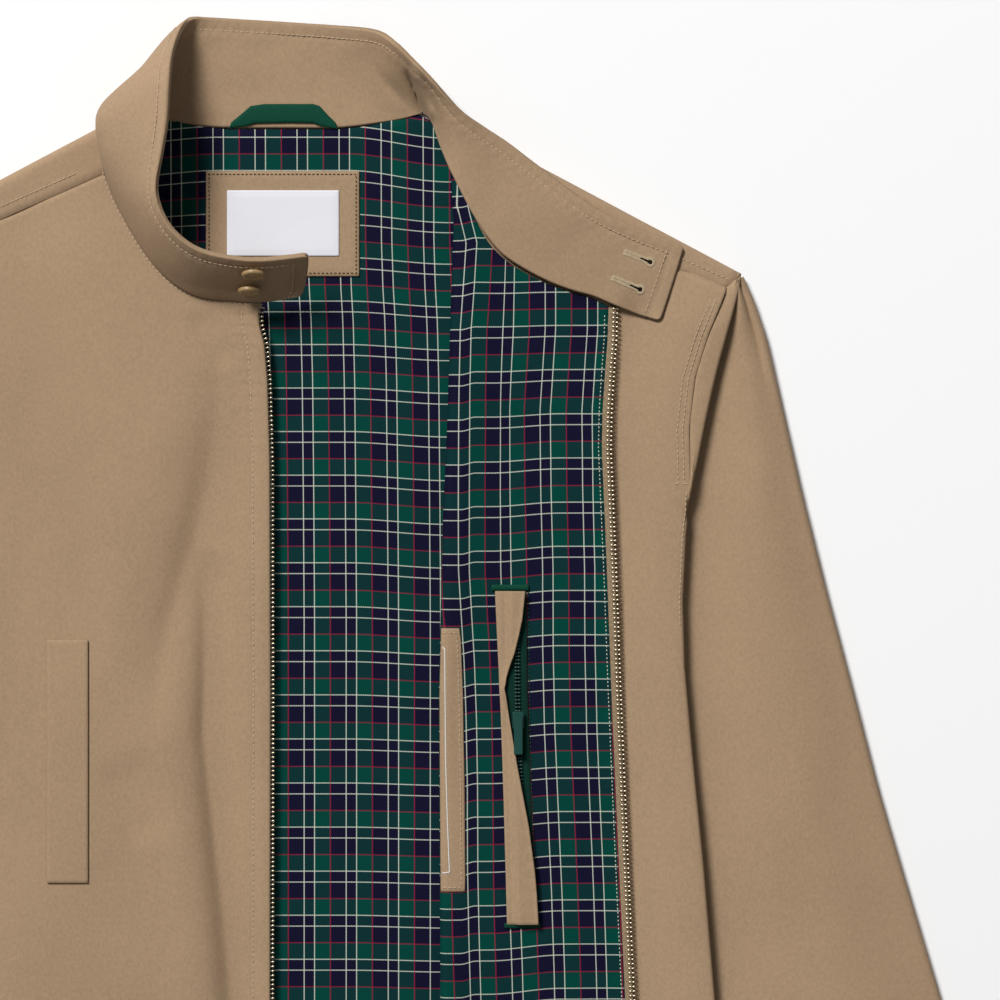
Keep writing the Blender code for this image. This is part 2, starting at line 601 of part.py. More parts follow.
def make_sleeves(make):
    """Both flattened sleeves, their crowns beside the armhole seams and their cuffs."""
    rows = SLEEVE
    sleeve = np.array([tube_section(row) for row in rows])
    cuff = np.array([tube_section(row) for row in CUFF])
    crown = []
    for edge in CROWN_EDGE:
        y = edge.y
        seam = x_at(SIDE, y) + 3 * GAP
        top = front_top(min(seam, x_at(SIDE, y)), y)
        middle = top - EDGE_ROLL + 0.1
        reach = [(seam, top), ((seam + edge.x - 2) / 2, top)]
        for step in range(5):
            angle = pi / 2 - pi * step / 4
            radius = EDGE_ROLL - 0.1
            reach.append((edge.x - radius + radius * cos(angle), middle + radius * sin(angle)))
        reach.append((edge.x - 7.5, middle - EDGE_ROLL + 0.1))
        crown.append([(x, y, z) for x, z in reach])
    crown = np.array(crown)
    for side, sign in (("left", 1), ("right", -1)):
        flip = (sign, 1, 1)
        wall_mesh(make, "sleeve_" + side, sleeve * flip, 0, sign * SHELL, "khaki_twill", ring=True)
        wall_mesh(make, "cuff_" + side, cuff * flip, 0, sign * SHELL, "khaki_rib", ring=True)
        wall_mesh(make, "crown_" + side, crown * flip, 0, sign * SHELL, "khaki_twill")


def collar_grid():
    """Middle of the stand collar, from the wearer's right front round to the left, seam to free edge."""
    ribs = []
    for rib in COLLAR:
        x, y, z = rib.seam
        if z is None:
            z = front_top(min(x, -12.0), y) + COLLAR_LIFT if x < 20 else flap_top(x, y) + COLLAR_LIFT
        ribs.append(((x, y, z), rib.bow, rib.edge))
    ribs = np.array(ribs, float)
    grid = []
    for a, b, c in ribs:
        control = 2 * b - (a + c) / 2
        row = []
        for t in np.linspace(0, 1, 6):
            row.append((1 - t) ** 2 * a + 2 * t * (1 - t) * control + t * t * c)
        grid.append(row)
    return np.array(grid)


def between(grid, row, share):
    """The value of a grid at a part row and a share of its columns."""
    column = share * (grid.shape[1] - 1)
    r, c = int(row), int(column)
    first = grid[r, c] + (grid[r, c + 1] - grid[r, c]) * (column - c)
    second = grid[r + 1, c] + (grid[r + 1, c + 1] - grid[r + 1, c]) * (column - c)
    return first + (second - first) * (row - r)


def make_collar(make):
    """The two walls of the stand collar and the two buttons on its outer one."""
    grid = collar_grid()
    wall_mesh(make, "collar_outer", grid, 0.15, 0.15 + LINING, "khaki_twill")
    wall_mesh(make, "collar_facing", grid, -0.15, -0.15 - LINING, "khaki_twill")
    normals = normals_of(grid, False)
    along = np.gradient(grid, axis=0)
    for number, (row, share) in enumerate(BUTTON_SPOTS, 1):
        out = between(normals, row, share)
        out = out / np.linalg.norm(out)
        side = np.cross(out, between(along, row, share))
        side = side / np.linalg.norm(side)
        base = between(grid, row, share) + out * (0.15 + LINING + GAP)
        make_button(make, f"button_{number}", base, out, side)


def make_button(make, name, base, out, side):
    """A flat button with a raised rim and a sunk middle, its back at the base point."""
    profile = [(0.0, 0.0), (BUTTON_RADIUS - 0.6, 0.0), (BUTTON_RADIUS, 0.7), (BUTTON_RADIUS, 1.5),
               (BUTTON_RADIUS - 0.8, 2.1), (BUTTON_RADIUS - 2.0, 1.6), (0.0, 1.5)]
    across = np.cross(out, side)
    points, faces = [base + out * profile[0][1], base + out * profile[-1][1]], []
    turns, rings = 20, profile[1:-1]
    for radius, height in rings:
        for step in range(turns):
            angle = 2 * pi * step / turns
            spoke = side * cos(angle) + across * sin(angle)
            points.append(base + out * height + spoke * radius)
    for step in range(turns):
        after = (step + 1) % turns
        faces.append((0, 2 + after, 2 + step))
        last = 2 + (len(rings) - 1) * turns
        faces.append((1, last + step, last + after))
        for ring in range(len(rings) - 1):
            low, high = 2 + ring * turns, 2 + (ring + 1) * turns
            faces.append((low + step, low + after, high + after, high + step))
    make(name, np.array(points), faces, "button_horn")


def sheet(make, name, box, height, thickness, fabric, counts):
    """A rectangle of cloth that lies on what is below it."""
    left, right, top, bottom = box
    grid = []
    for y in np.linspace(top, bottom, counts[0]):
        grid.append([(x, y, height(x, y)) for x in np.linspace(left, right, counts[1])])
    wall_mesh(make, name, np.array(grid), 0, -thickness, fabric)


def make_neck_trim(make):
    """The label on its patch and the hanging loop."""
    sheet(make, "label_patch", LABEL_PATCH, lambda x, y: LINING_TOP + GAP, 1.0, "khaki_twill", (5, 5))
    sheet(make, "neck_label", LABEL, lambda x, y: LINING_TOP + 2 * GAP + 1.0, 0.8, "label_satin", (4, 5))
    grid = []
    for spot in LOOP:
        height = SHELL + 0.15 + LINING + GAP
        middle = ((spot.x_low + spot.x_high) / 2, (spot.y_low + spot.y_high) / 2, height + 0.5)
        grid.append([(spot.x_high, spot.y_high, height), middle, (spot.x_low, spot.y_low, height)])
    wall_mesh(make, "hanger_loop", np.array(grid), 0, 1.0, "green_tape")


def make_backing(make):
    """The pocket's backing that laps round the fold of the opened front."""
    grid = []
    for y in np.linspace(BACKING_EDGE[0].y, BACKING_EDGE[-1].y, 12):
        x = x_at(FOLD, y)
        high, low = flap_back(x + 4, y), front_top(x + 4, y) - SHELL
        radius, middle = (high - low) / 2, (high + low) / 2
        edge = x_at(BACKING_EDGE, y)
        row = [(px, y, flap_back(px, y)) for px in np.linspace(edge, x + SHELL + radius + 2, 4)]
        for step in range(6):
            angle = pi / 2 + pi * step / 8
            row.append((x + SHELL + radius * (1 + cos(angle)), y, middle + radius * sin(angle)))
        grid.append(row)
    seat = GAP + LINING + 1.6 * GAP
    wall_mesh(make, "pocket_backing", np.array(grid), seat, seat + 0.9, "khaki_twill")


def block(make, name, middle, size, fabric, pivot=None):
    """A hard block with cut corners, its sizes along x, y and z."""
    half = np.array(size, float) / 2
    cut = min(half) * 0.45
    points, faces = [], []
    for level, inset in ((-1, cut), (-0.5, 0), (0.5, 0), (1, cut)):
        wide, long = half[0] - inset, half[1] - inset
        corner = cut * 1.2
        for sx, sy in ((1, 1), (-1, 1), (-1, -1), (1, -1)):
            pair = [(sx * wide, sy * (long - corner)), (sx * (wide - corner), sy * long)]
            if sx * sy < 0:
                pair.reverse()
            points += [(px, py, level * half[2]) for px, py in pair]
    for ring in range(3):
        for step in range(8):
            after = (step + 1) % 8
            faces.append((ring * 8 + step, ring * 8 + after, ring * 8 + 8 + after, ring * 8 + 8 + step))
    faces.append(tuple(range(7, -1, -1)))
    faces.append(tuple(range(24, 32)))
    points = np.array(points) + middle
    made = make(name, points - (pivot if pivot else 0), faces, fabric)
    if pivot:
        made.location = tuple(np.array(pivot) * MM)


def make_inner_pocket(make):
    """The zipped inner pocket: tape, chain, slider, pull and the guard strips over them."""
    def tape_height(x, y):
        return flap_top(x, y) + GAP

    def guard_height(x, y):
        away = x - x_at(POCKET_ZIP, y)
        return flap_top(x, y) + 0.35 + 1.1 * rise((away + 12) / 4) + 1.9 * rise((away + 6.2) / 4)

    strip(make, "pocket_zip_tape", POCKET_ZIP, -246, -420, -5.5, 5.2, tape_height, 0.7, "green_tape")
    strip(make, "pocket_zip_chain", POCKET_ZIP, -247, -419, -1.6, 1.6,
          lambda x, y: flap_top(x, y) + 2 * GAP + 0.7, 1.4, "zip_metal")
    for name, rows in (("pocket_guard_upper", GUARD_UPPER), ("pocket_guard_lower", GUARD_LOWER)):
        grid = []
        for row in rows:
            spots = np.linspace(row.left, row.right, 7)
            grid.append([(x, row.y, guard_height(x, row.y)) for x in spots])
        wall_mesh(make, name, np.array(grid), 0, -0.9, "khaki_twill")
    for name, top, left, right in (("pocket_piping_upper", -242.2, 110.8, 129.9),
                                   ("pocket_piping_lower", -421.4, 117.7, 136.2)):
        sheet(make, name, (left, right, top, top - 2.4), tape_height, 1.4, "green_tape", (2, 6))
    x, y = x_at(POCKET_ZIP, POCKET_SLIDER_Y), POCKET_SLIDER_Y
    base = flap_top(x, y) + 3 * GAP + 2.1
    block(make, "pocket_slider", (x, y, base + 1.1), (6.0, 9.0, 2.2), "green_enamel")
    pivot = (x, y + 1.6, base + 2.2 + GAP + 0.6)
    block(make, "pocket_pull", (x, y - 8.0, pivot[2]), (4.6, 20.0, 1.2), "green_enamel", pivot)


def make_front_hardware(make):
    """The slider and the pull at the foot of the closed front's zip, and its pocket welt."""
    sheet(make, "pocket_welt_right", WELT, lambda x, y: front_top(x, y) + 1.6 * GAP, 1.1, "khaki_twill", (12, 4))
    x, y = x_at(CLOSED_EDGE, -654) + 4.9, -654.0
    block(make, "zip_slider", (x, y, 6.2), (8.0, 13.0, 5.0), "zip_metal")
    pivot = (x, y + 3.4, 8.7 + GAP + 0.7)
    block(make, "zip_pull", (x, y - 9.5, pivot[2]), (5.4, 27.0, 1.4), "zip_metal", pivot)


def build():
    """Clears the scene and makes every piece."""
    for old in list(bpy.data.objects):
        bpy.data.objects.remove(old)
    collection = bpy.data.collections.new("harrington_jacket")
    bpy.context.scene.collection.children.link(collection)
    origin = bpy.data.objects.new("jacket_origin", None)
    collection.objects.link(origin)
    origin.location = (0, -ORIGIN_Y * MM, 0)

    def make(name, points, faces, fabric):
        return add_mesh(name, points, faces, fabric, collection, origin)

    make_back(make)
    make_closed_front(make)
    make_open_front(make)
    make_zip(make)
    make_sleeves(make)
    make_collar(make)
    make_neck_trim(make)
    make_backing(make)
    make_inner_pocket(make)
    make_front_hardware(make)


build()
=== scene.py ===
"""Dresses the harrington jacket: cloth with soft creases, tartan lining, stitches and zip teeth.

Sizes in the tables are millimetres, x to the wearer's left, y towards the collar and z up, with the
centre of the back neck seam at x = 0, y = 0. place() moves them into the frame's metres.
"""

from collections import namedtuple
from math import cos, pi, radians, sin

import bpy
import numpy as np
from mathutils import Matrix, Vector
from mathutils.bvhtree import BVHTree


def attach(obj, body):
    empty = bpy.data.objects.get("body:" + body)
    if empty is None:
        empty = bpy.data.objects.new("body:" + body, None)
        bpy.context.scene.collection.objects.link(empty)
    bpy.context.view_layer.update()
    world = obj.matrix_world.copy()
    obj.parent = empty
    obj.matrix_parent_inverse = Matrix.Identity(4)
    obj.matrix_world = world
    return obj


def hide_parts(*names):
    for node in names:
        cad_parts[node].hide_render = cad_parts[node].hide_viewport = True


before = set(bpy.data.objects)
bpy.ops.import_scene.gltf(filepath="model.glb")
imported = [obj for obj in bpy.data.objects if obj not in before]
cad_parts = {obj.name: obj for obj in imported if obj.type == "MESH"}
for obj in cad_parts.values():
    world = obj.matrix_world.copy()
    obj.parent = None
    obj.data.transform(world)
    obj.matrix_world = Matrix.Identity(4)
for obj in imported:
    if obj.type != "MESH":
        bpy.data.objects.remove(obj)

bl_info = {
    "name": "Harrington jacket",
    "version": (1, 0, 0),
    "blender": (4, 5, 0),
    "location": "3D View > Sidebar > Jacket",
    "description": "Tan cotton jacket with a tartan lining, laid out with one front folded open",
    "category": "Object",
}

MM = 0.001
ORIGIN_Y = -331.8
SHELL = 1.5
LINING = 1.2
GAP = 0.3
LINING_TOP = SHELL + GAP + LINING
NECK_HALF = 88.0
NECK_POINT_Y = -22.0
SHOULDER_END = (233.6, -86.4)
SHOULDER_TIP = (242.0, -77.0)
SHOULDER_SLOPE = radians(28)
HEM_SEAM_Y = -610.0
HEM_Y = -670.0
HEM_HALF = 243.0
UNDERARM_Y = -190.0
SEAM_SHARE = 0.9
ROLL = 4.6
FRONT_BASE = 5.2
CLOSED_LIFT = 6.6
SIDE_TOP = 12.4
EDGE_ROLL = 1.95
SLEEVE_EDGE = 2.6
COLLAR_LIFT = 1.1
FLAP_STACK = 3.0
BUTTON_RADIUS = 6.3
ZIP_INSET = 2.6
LINING_INSET = 6.6
TOOTH_PITCH = 2.4
CLOTH_THICKNESS = 1.0
SIDE_INSET = 12.0
FOLD_COLUMNS = 13
LINING_HALF = 196
PATCH_THICK = 0.9
PATCH_STITCH_INSET = 1.4
SIDES = (("left", 1), ("right", -1))
# Plan direction out over the shoulder, where the back starts to roll, and the shoulder seam's fall
SHOULDER_OUT = np.array((sin(SHOULDER_SLOPE), cos(SHOULDER_SLOPE)))
ROLL_START = np.array(SHOULDER_TIP) - SHOULDER_OUT * ROLL
SHOULDER_GRADE = (SHOULDER_END[1] - NECK_POINT_Y) / (SHOULDER_END[0] - NECK_HALF)
# Rows of the back over the shoulder, as shares of the rolled length
ROLL_SHARES = (1, 0.86, 0.72, 0.58, 0.5, 0.44, 0.38, 0.32, 0.26, 0.2, 0.14, 0.07)


def rows_of(kind, *values):
    """A table's rows as named values."""
    return [kind(*value) for value in values]


# Half widths of the front: the armhole seam down to the underarm, then the side of the body
Side = namedtuple("Side", "y x")
SIDE = rows_of(
    Side, (-86, 234.0), (-94, 231.0), (-110, 224.5), (-133, 217.5), (-160, 214.5), (-190, 215.3), (-202, 214.7),
    (-215, 213.2), (-250, 211.5), (-285, 212.5), (-330, 216.5), (-390, 222.5), (-462, 228.5), (-540, 235.5),
    (-610, 240.5), (-670, HEM_HALF))
# The rolled edge of the sleeve's crown beside the armhole seam
CROWN_EDGE = rows_of(Side, (-88.2, 240.7), (-96, 238.4), (-107, 235.4), (-129, 229.5), (-153, 224.0), (-180, 218.6))
# The folded line of the opened front, and the outer line of its zip teeth
FOLD = rows_of(
    Side, (-25.6, 89.0), (-51, 90.5), (-68, 89.8), (-160, 87.0), (-208, 84.8), (-300, 82.6), (-400, 83.2),
    (-462, 83.4), (-560, 83.8), (-670, 84.0))
OPEN_ZIP = rows_of(
    Side, (-95, 178.6), (-112, 178.2), (-128, 177.0), (-150, 175.6), (-170, 175.2), (-200, 176.5), (-240, 178.2),
    (-300, 180.4), (-356, 182.8), (-410, 185.2), (-462, 187.6), (-560, 191.5), (-670, 195.0))
# The edge of the closed front, on the wearer's right
CLOSED_EDGE = rows_of(
    Side, (-92, -11.0), (-99, -12.6), (-105, -12.2), (-115, -9.6), (-134, -8.0), (-176, -6.8), (-300, -6.4),
    (-462, -6.8), (-560, -7.0), (-670, -7.0))
# Sleeve: the outer fold and the inner edge, which lies under the body down to the elbow
Arm = namedtuple("Arm", "y_out x_out y_in x_in top")
SLEEVE = rows_of(
    Arm, (-79, 244.0, -84, 237.4, 7.4), (-92, 249.6, -96, 229.4, 7.4), (-111, 256.0, -113, 221.0, 7.0),
    (-144, 263.6, -146, 210.0, 6.4), (-190, 274.0, -196, 202.0, 6.8), (-240, 286.4, -250, 197.5, 6.8),
    (-300, 302.4, -314, 200.5, 6.8), (-350, 315.2, -368, 207.0, 6.8), (-400, 330.0, -424, 211.5, 6.8),
    (-462, 348.6, -490, 217.0, 6.8), (-530, 368.6, -560, 240.0, 6.8), (-595, 387.0, -630, 272.0, 6.6),
    (-634, 397.0, -662, 293.0, 6.2))
CUFF = rows_of(
    Arm, (-634.3, 396.0, -662.3, 295.0, 6.0), (-664, 404.0, -692, 310.0, 6.4), (-694, 412.5, -722, 321.0, 5.4))

# Collar: seam to the body, the bow halfway up, and the free edge, from one front to the other
Rib = namedtuple("Rib", "seam bow edge")
COLLAR = rows_of(
    Rib, ((10.0, -89.2, None), (13.2, -81.6, 21.5), (15.3, -68.9, 41.0)),
    ((0.0, -91.0, None), (2.6, -83.6, 21.8), (3.3, -70.4, 41.5)),
    ((-11.3, -92.0, None), (-9.6, -85.0, 22.2), (-8.5, -71.5, 42.0)),
    ((-27.0, -91.0, None), (-23.6, -83.5, 25.6), (-21.0, -71.1, 43.0)),
    ((-42.0, -89.4, None), (-40.0, -81.5, 26.4), (-37.0, -68.0, 44.0)),
    ((-54.0, -84.0, None), (-52.4, -75.5, 27.2), (-47.7, -62.9, 45.5)),
    ((-66.0, -73.2, None), (-63.0, -66.0, 28.4), (-56.5, -54.2, 47.0)),
    ((-76.0, -59.0, None), (-71.5, -53.0, 29.4), (-61.6, -43.4, 48.0)),
    ((-85.0, -43.0, None), (-77.5, -38.5, 31.0), (-62.7, -32.4, 48.5)),
    ((-91.5, -28.0, None), (-82.5, -22.5, 31.0), (-59.6, -15.2, 48.0)),
    ((-95.0, -14.0, None), (-86.0, -6.5, 30.0), (-57.3, 0.6, 46.0)),
    ((-97.0, -2.0, 10.4), (-87.5, 7.6, 27.0), (-56.6, 18.6, 42.0)),
    ((-96.5, 7.4, 6.6), (-83.0, 19.5, 21.5), (-56.1, 32.4, 34.0)),
    ((-88.0, 8.6, 4.6), (-75.5, 28.0, 14.5), (-53.7, 45.3, 26.0)),
    ((-75.0, 6.2, 2.9), (-65.8, 37.5, 8.4), (-50.2, 54.3, 16.0)),
    ((-58.0, 3.4, 1.9), (-53.0, 33.0, 4.2), (-46.0, 58.0, 8.0)),
    ((-40.0, 0.6, 1.5), (-39.0, 29.0, 1.9), (-37.6, 58.3, 3.4)),
    ((-20.0, -0.1, 1.5), (-20.4, 28.5, 1.5), (-20.6, 57.4, 1.9)),
    ((0.0, -0.2, 1.5), (0.0, 28.0, 1.5), (0.0, 56.2, 1.5)), ((30.0, 0.0, 1.5), (27.6, 27.0, 2.0), (25.0, 54.1, 5.4)),
    ((51.0, 2.6, 1.7), (50.0, 25.0, 5.4), (49.0, 50.4, 15.0)),
    ((64.0, 5.0, 2.2), (62.6, 22.0, 9.6), (60.0, 42.8, 24.0)),
    ((75.2, 7.4, 4.4), (71.8, 19.0, 11.0), (68.6, 34.2, 26.0)),
    ((79.8, 2.2, 8.6), (79.6, 14.0, 15.5), (77.4, 25.0, 27.5)),
    ((84.0, -10.0, 10.0), (86.0, 4.5, 17.5), (86.6, 15.2, 25.0)),
    ((90.0, -25.0, None), (93.5, -7.0, 17.6), (95.6, 6.8, 21.0)),
    ((97.0, -39.4, None), (102.5, -18.5, 16.6), (107.2, -1.2, 16.6)),
    ((103.4, -50.9, None), (111.0, -28.0, 15.2), (118.5, -8.4, 14.0)),
    ((112.0, -62.9, None), (121.5, -39.0, 14.2), (131.0, -17.8, 12.6)),
    ((121.0, -70.9, None), (130.6, -47.0, 13.6), (140.0, -24.6, 12.0)),
    ((137.6, -80.3, None), (146.0, -58.0, 12.8), (154.5, -35.5, 11.6)),
    ((152.4, -86.2, None), (160.5, -65.0, 12.0), (168.5, -44.8, 11.0)),
    ((164.2, -89.5, None), (172.0, -69.0, 11.4), (179.5, -50.0, 10.8)),
    ((175.2, -94.2, None), (183.0, -74.0, 10.8), (190.5, -54.8, 10.6)),
    ((187.5, -98.9, None), (194.4, -78.5, 10.4), (201.5, -59.0, 10.6)),
    ((199.7, -102.8, None), (206.2, -83.0, 10.3), (212.3, -63.2, 10.6)))
NECK_RIGHT_FRONT = [(-11.0, -92.0), (-27, -91), (-42, -89.4), (-54, -84), (-66, -73.2), (-76, -59), (-85, -43),
                    (-91.5, -28), (-NECK_HALF - 5, NECK_POINT_Y)]
NECK_LEFT_FRONT = [(89, -25.6), (96, -40), (102.4, -51.5), (111, -63.6), (120, -71.6), (136.7, -81), (152, -87),
                   (163.8, -90.1), (174.4, -95)]
NECK_BACK = [(0.0, -0.5), (30, -0.5), (51, 1.9), (64, 3.5), (76, 5.4), (92, 12.6), (111.8, 22.8)]

# The two long creases down the closed front: their middle, depth and width
Crease = namedtuple("Crease", "y x depth width")
CREASES = [
    rows_of(Crease, (-112, -30.0, 0.0, 11.0), (-136, -32.0, 1.8, 12.0), (-160, -34.0, 3.2, 13.0),
            (-190, -38.4, 4.0, 13.5), (-216, -45.0, 4.3, 13.5), (-240, -52.4, 4.3, 12.5), (-262, -58.4, 3.4, 11.5),
            (-290, -63.4, 1.6, 11.0), (-322, -68.0, 0.0, 11.0)),
    rows_of(Crease, (-224, -38.6, 0.0, 6.5), (-240, -38.4, 2.8, 7.0), (-262, -38.3, 4.4, 8.0), (-288, -38.3, 5.4, 8.5),
            (-322, -39.1, 6.0, 9.0), (-352, -36.2, 6.0, 9.0), (-375, -34.0, 6.2, 9.0), (-415, -30.4, 6.0, 9.0),
            (-440, -28.0, 6.0, 9.0), (-470, -25.8, 5.6, 9.0), (-530, -22.0, 3.6, 8.5), (-600, -19.0, 0.5, 8.0),
            (-612, -19.0, 0.0, 8.0)),
]
# Softer hollows of the closed front: a line down the cloth, its depth and its half width
Trough = namedtuple("Trough", "x_top y_top x_low y_low depth width")
TROUGHS = rows_of(
    Trough, (-92.8, -339, -72.0, -378, 1.3, 10), (-48.0, -100, -30.0, -127, 1.3, 6), (-130, -200, -150, -420, 1.0, 18),
    (-110, -460, -70, -600, 1.3, 16), (-180, -300, -170, -560, 1.2, 16))

# The inner pocket of the opened front: its guard strip, pinched where the slider is
Guard = namedtuple("Guard", "y left right")
GUARD_UPPER = rows_of(
    Guard, (-245.3, 112.7, 128.2), (-259.7, 113.4, 126.7), (-268.7, 113.8, 124.8), (-277.2, 114.2, 122.7),
    (-284.6, 114.6, 120.3), (-291.3, 114.9, 118.2), (-299.0, 115.2, 116.9))
GUARD_LOWER = rows_of(
    Guard, (-295.2, 115.2, 117.0), (-303.5, 115.5, 118.6), (-312.7, 115.8, 120.1), (-321.7, 116.1, 121.6),
    (-335.0, 116.6, 123.6), (-345.0, 116.9, 125.5), (-357.5, 117.3, 127.9), (-369.0, 117.6, 130.1),
    (-380.6, 117.9, 131.6), (-393.0, 118.3, 133.3), (-405.0, 118.6, 134.3), (-420.6, 119.0, 135.2))
POCKET_ZIP = rows_of(Side, (-246.0, 123.6), (-300, 124.2), (-420, 128.0))
BACKING_EDGE = rows_of(Side, (-264.8, 93.1), (-271, 93.9), (-300, 95.0), (-335, 95.6), (-396, 96.2), (-403.2, 96.0))
# The hanging loop at the back of the neck: its lower and its upper edge
Loop = namedtuple("Loop", "x_low y_low x_high y_high")
LOOP = rows_of(
    Loop, (-28.6, 0.1, -26.5, 2.3), (-20, 0.9, -17.0, 11.1), (-15, 2.6, -10.0, 12.2), (3.0, 3.0, 3.0, 12.2),
    (16.2, 2.8, 16.2, 12.2), (21.0, 0.9, 19.6, 11.1), (29.2, -0.3, 27.3, 2.2))
LABEL_PATCH = (-40.3, 40.3, -23.3, -78.4)
LABEL = (-29.2, 29.7, -33.4, -67.8)
WELT = (-123.5, -102.3, -271.0, -398.6)
# Each buttonhole of the collar: its bar and the middle of its eye
BUTTONHOLES = (((180.9, -66.3), (194.2, -71.6)), ((174.5, -79.9), (188.9, -85.9)))

# The seam of the opened front's lining beside the inner pocket
SEAM_LINE = rows_of(Side, (-60, 129.0), (-244, 130.0), (-335, 131.2), (-421, 136.0), (-670, 142.0))
# Sideways run of the lining's warp lines down the cloth: by the zip, by the fold, and in the back
LEAN = rows_of(
    Side, (0, 1.7), (-107, 1.7), (-128, 0.3), (-150, -1.1), (-192, -0.7), (-234, 0.3), (-277, 0.4), (-319, 1.3),
    (-361, 3.1), (-404, 5.0), (-446, 6.4), (-560, 9.0), (-670, 12.0))
FOLD_LEAN = rows_of(
    Side, (-42, 0.0), (-61, 4.6), (-85, 3.0), (-107, 1.4), (-139, 0.7), (-192, 0.4), (-234, 0.4), (-256, 1.6),
    (-282, 3.2), (-314, 4.3), (-345, 4.8), (-393, 5.0), (-425, 5.6), (-460, 6.6), (-560, 9.0), (-670, 12.0))
BACK_LEAN = rows_of(
    Side, (0, -0.8), (-60, -0.6), (-85, 0.2), (-102, 1.2), (-134, 2.0), (-165, 2.3), (-197, 2.6), (-229, 2.8),
    (-260, 3.0), (-670, 3.0))
# How far the weft lines sag: towards the fold of the opened front, and towards the side in the back
FOLD_SAG = rows_of(Side, (-60, 0.6), (-118, 1.0), (-165, 2.1), (-216, 2.5), (-282, 2.7), (-433, 3.0))
BACK_SAG = rows_of(
    Side, (-5, 6.4), (-28, 6.2), (-64, 3.6), (-125, 2.9), (-205, 3.0), (-250, 2.8), (-303, 1.8), (-356, 1.2),
    (-417, 1.0))
BACK_DROP = rows_of(Side, (-28, 9.6), (-64, 10.0), (-125, 10.9), (-163, 11.4), (-205, 11.8), (-250, 12.0))
SETT_X = 22.25
SETT_Y = 23.33
SETT_LINE = 0.0155
GREEN_FROM = 0.615
CREAM_AT = (0.375, 0.622)
TWILL_RIBS = 19
# How fine the cotton's grain and its diagonal rib are, per metre
GRAIN_SCALE = (700.0, 480.0, 600.0)
RIBS_PER_METRE = 1150
FLOAT, VECTOR, COLOUR = "NodeSocketFloat", "NodeSocketVector", "NodeSocketColor"

# Where the crown's rolled edge and its seam run on past the armhole, at the tip and at the underarm
CROWN_TOP_ENDS = [(242.6, -77.6), (241.9, -81.0), (240.9, -86.2)]
CROWN_TOP_SEAM = [(240.2, -77.4), (237.4, -81.4), (233.9, -86.6)]
CROWN_LOW_ENDS = [(216.4, -190.0), (212.6, -207.0)]
CROWN_LOW_SEAM = [(214.4, -190.0), (210.6, -207.0)]
# The line of the collar's sharp bend on to the opened front
BEND_TOP, BEND_LOW = (68.6, 29.0), (77.0, 6.4)
# The button from the middle of its dish round to its back: share of the radius, share of the height
BUTTON_PROFILE = ((0.0, 0.25), (0.30, 0.22), (0.52, 0.16), (0.60, 0.30), (0.74, 0.46), (0.88, 0.44), (0.97, 0.26),
                  (1.0, 0.0), (0.96, -0.24), (0.82, -0.40), (0.4, -0.46), (0.0, -0.46))
BUTTON_HEIGHT = 2.9
BUTTON_LEAN = (0.0, -0.45, -0.2)
# A zip tooth along its length: place, width and height as shares
TOOTH_PROFILE = ((-0.5, 0.62, 0.5), (-0.42, 0.95, 0.9), (-0.08, 1.0, 1.0), (0.04, 0.6, 0.72), (0.16, 0.6, 0.72),
                 (0.26, 0.92, 0.86), (0.43, 0.88, 0.82), (0.5, 0.55, 0.5))
# The backing's white edge and its stitches, and the stitched seam beside the inner pocket
BACKING_TAPE = [(85.2, -275.0), (85.9, -276.0), (86.4, -335.0), (87.3, -365.0), (88.4, -393.0), (85.0, -393.6)]
BACKING_RIM = [(86.0, -266.9), (91.8, -267.2), (92.6, -272.0), (93.5, -300.0), (94.1, -335.0), (94.7, -396.0),
               (94.4, -401.2), (86.0, -401.4)]
POCKET_SEAM = [(129.9, -245.5), (131.2, -335), (132.6, -378), (135.4, -420)]
# Stitches beside an armhole: first and last y, their distances from the seam, and how many points
ARMHOLE_STITCHES = ((-92, -188, 3.2, 3.2, 80), (-92, -188, 6.2, 6.2, 80), (-188.6, -188.6, 7.2, 2.2, 2),
                    (-194, -262, 1.9, 1.9, 60))

FLOOR_HALF = 6000
FLOOR_Z = -0.15
SKY_STRENGTH = 0.15
# Each lamp's name, place in metres, size and power
LAMPS = (("key", (-3.1, 4.7, 6.0), 2.6, 790.0), ("fill", (2.6, -1.6, 3.0), 2.4, 8.0))
LAMP_TARGET = (0.08, 0.12, 0.0)
VIEW_CENTRE = (115, -197, 0)


def x_at(table, y, part="x"):
    """The x, or another part, of a line given from top to bottom, at each y."""
    return np.interp(-np.asarray(y, float), [-row.y for row in table], [getattr(row, part) for row in table])


def rise(value):
    """A smooth step from 0 to 1."""
    t = np.clip(value, 0.0, 1.0)
    return t * t * (3 - 2 * t)


def lattice(ix, iy, seed):
    """A fixed random value from -1 to 1 for each whole-number place."""
    h = np.sin(ix * 127.1 + iy * 311.7 + seed * 74.7) * 43758.5453
    return (h - np.floor(h)) * 2 - 1


def noise(x, y, size, seed):
    """Smooth noise from -1 to 1 with features of about this size."""
    u, v = np.asarray(x, float) / size, np.asarray(y, float) / size
    iu, iv = np.floor(u), np.floor(v)
    fu, fv = rise(u - iu), rise(v - iv)
    low = lattice(iu, iv, seed) * (1 - fu) + lattice(iu + 1, iv, seed) * fu
    high = lattice(iu, iv + 1, seed) * (1 - fu) + lattice(iu + 1, iv + 1, seed) * fu
    return low * (1 - fv) + high * fv


def crumple(x, y, seed, amount=1.0):
    """Soft unevenness of laid-out cotton, longer down the cloth than across it."""
    broad = noise(x, y * 0.45, 46.0, seed) * 1.2
    middle = noise(x + 0.25 * y, y * 0.6, 19.0, seed + 1) * 0.42
    small = noise(x - 0.2 * y, y, 7.5, seed + 2) * 0.05
    return (broad + middle + small) * amount


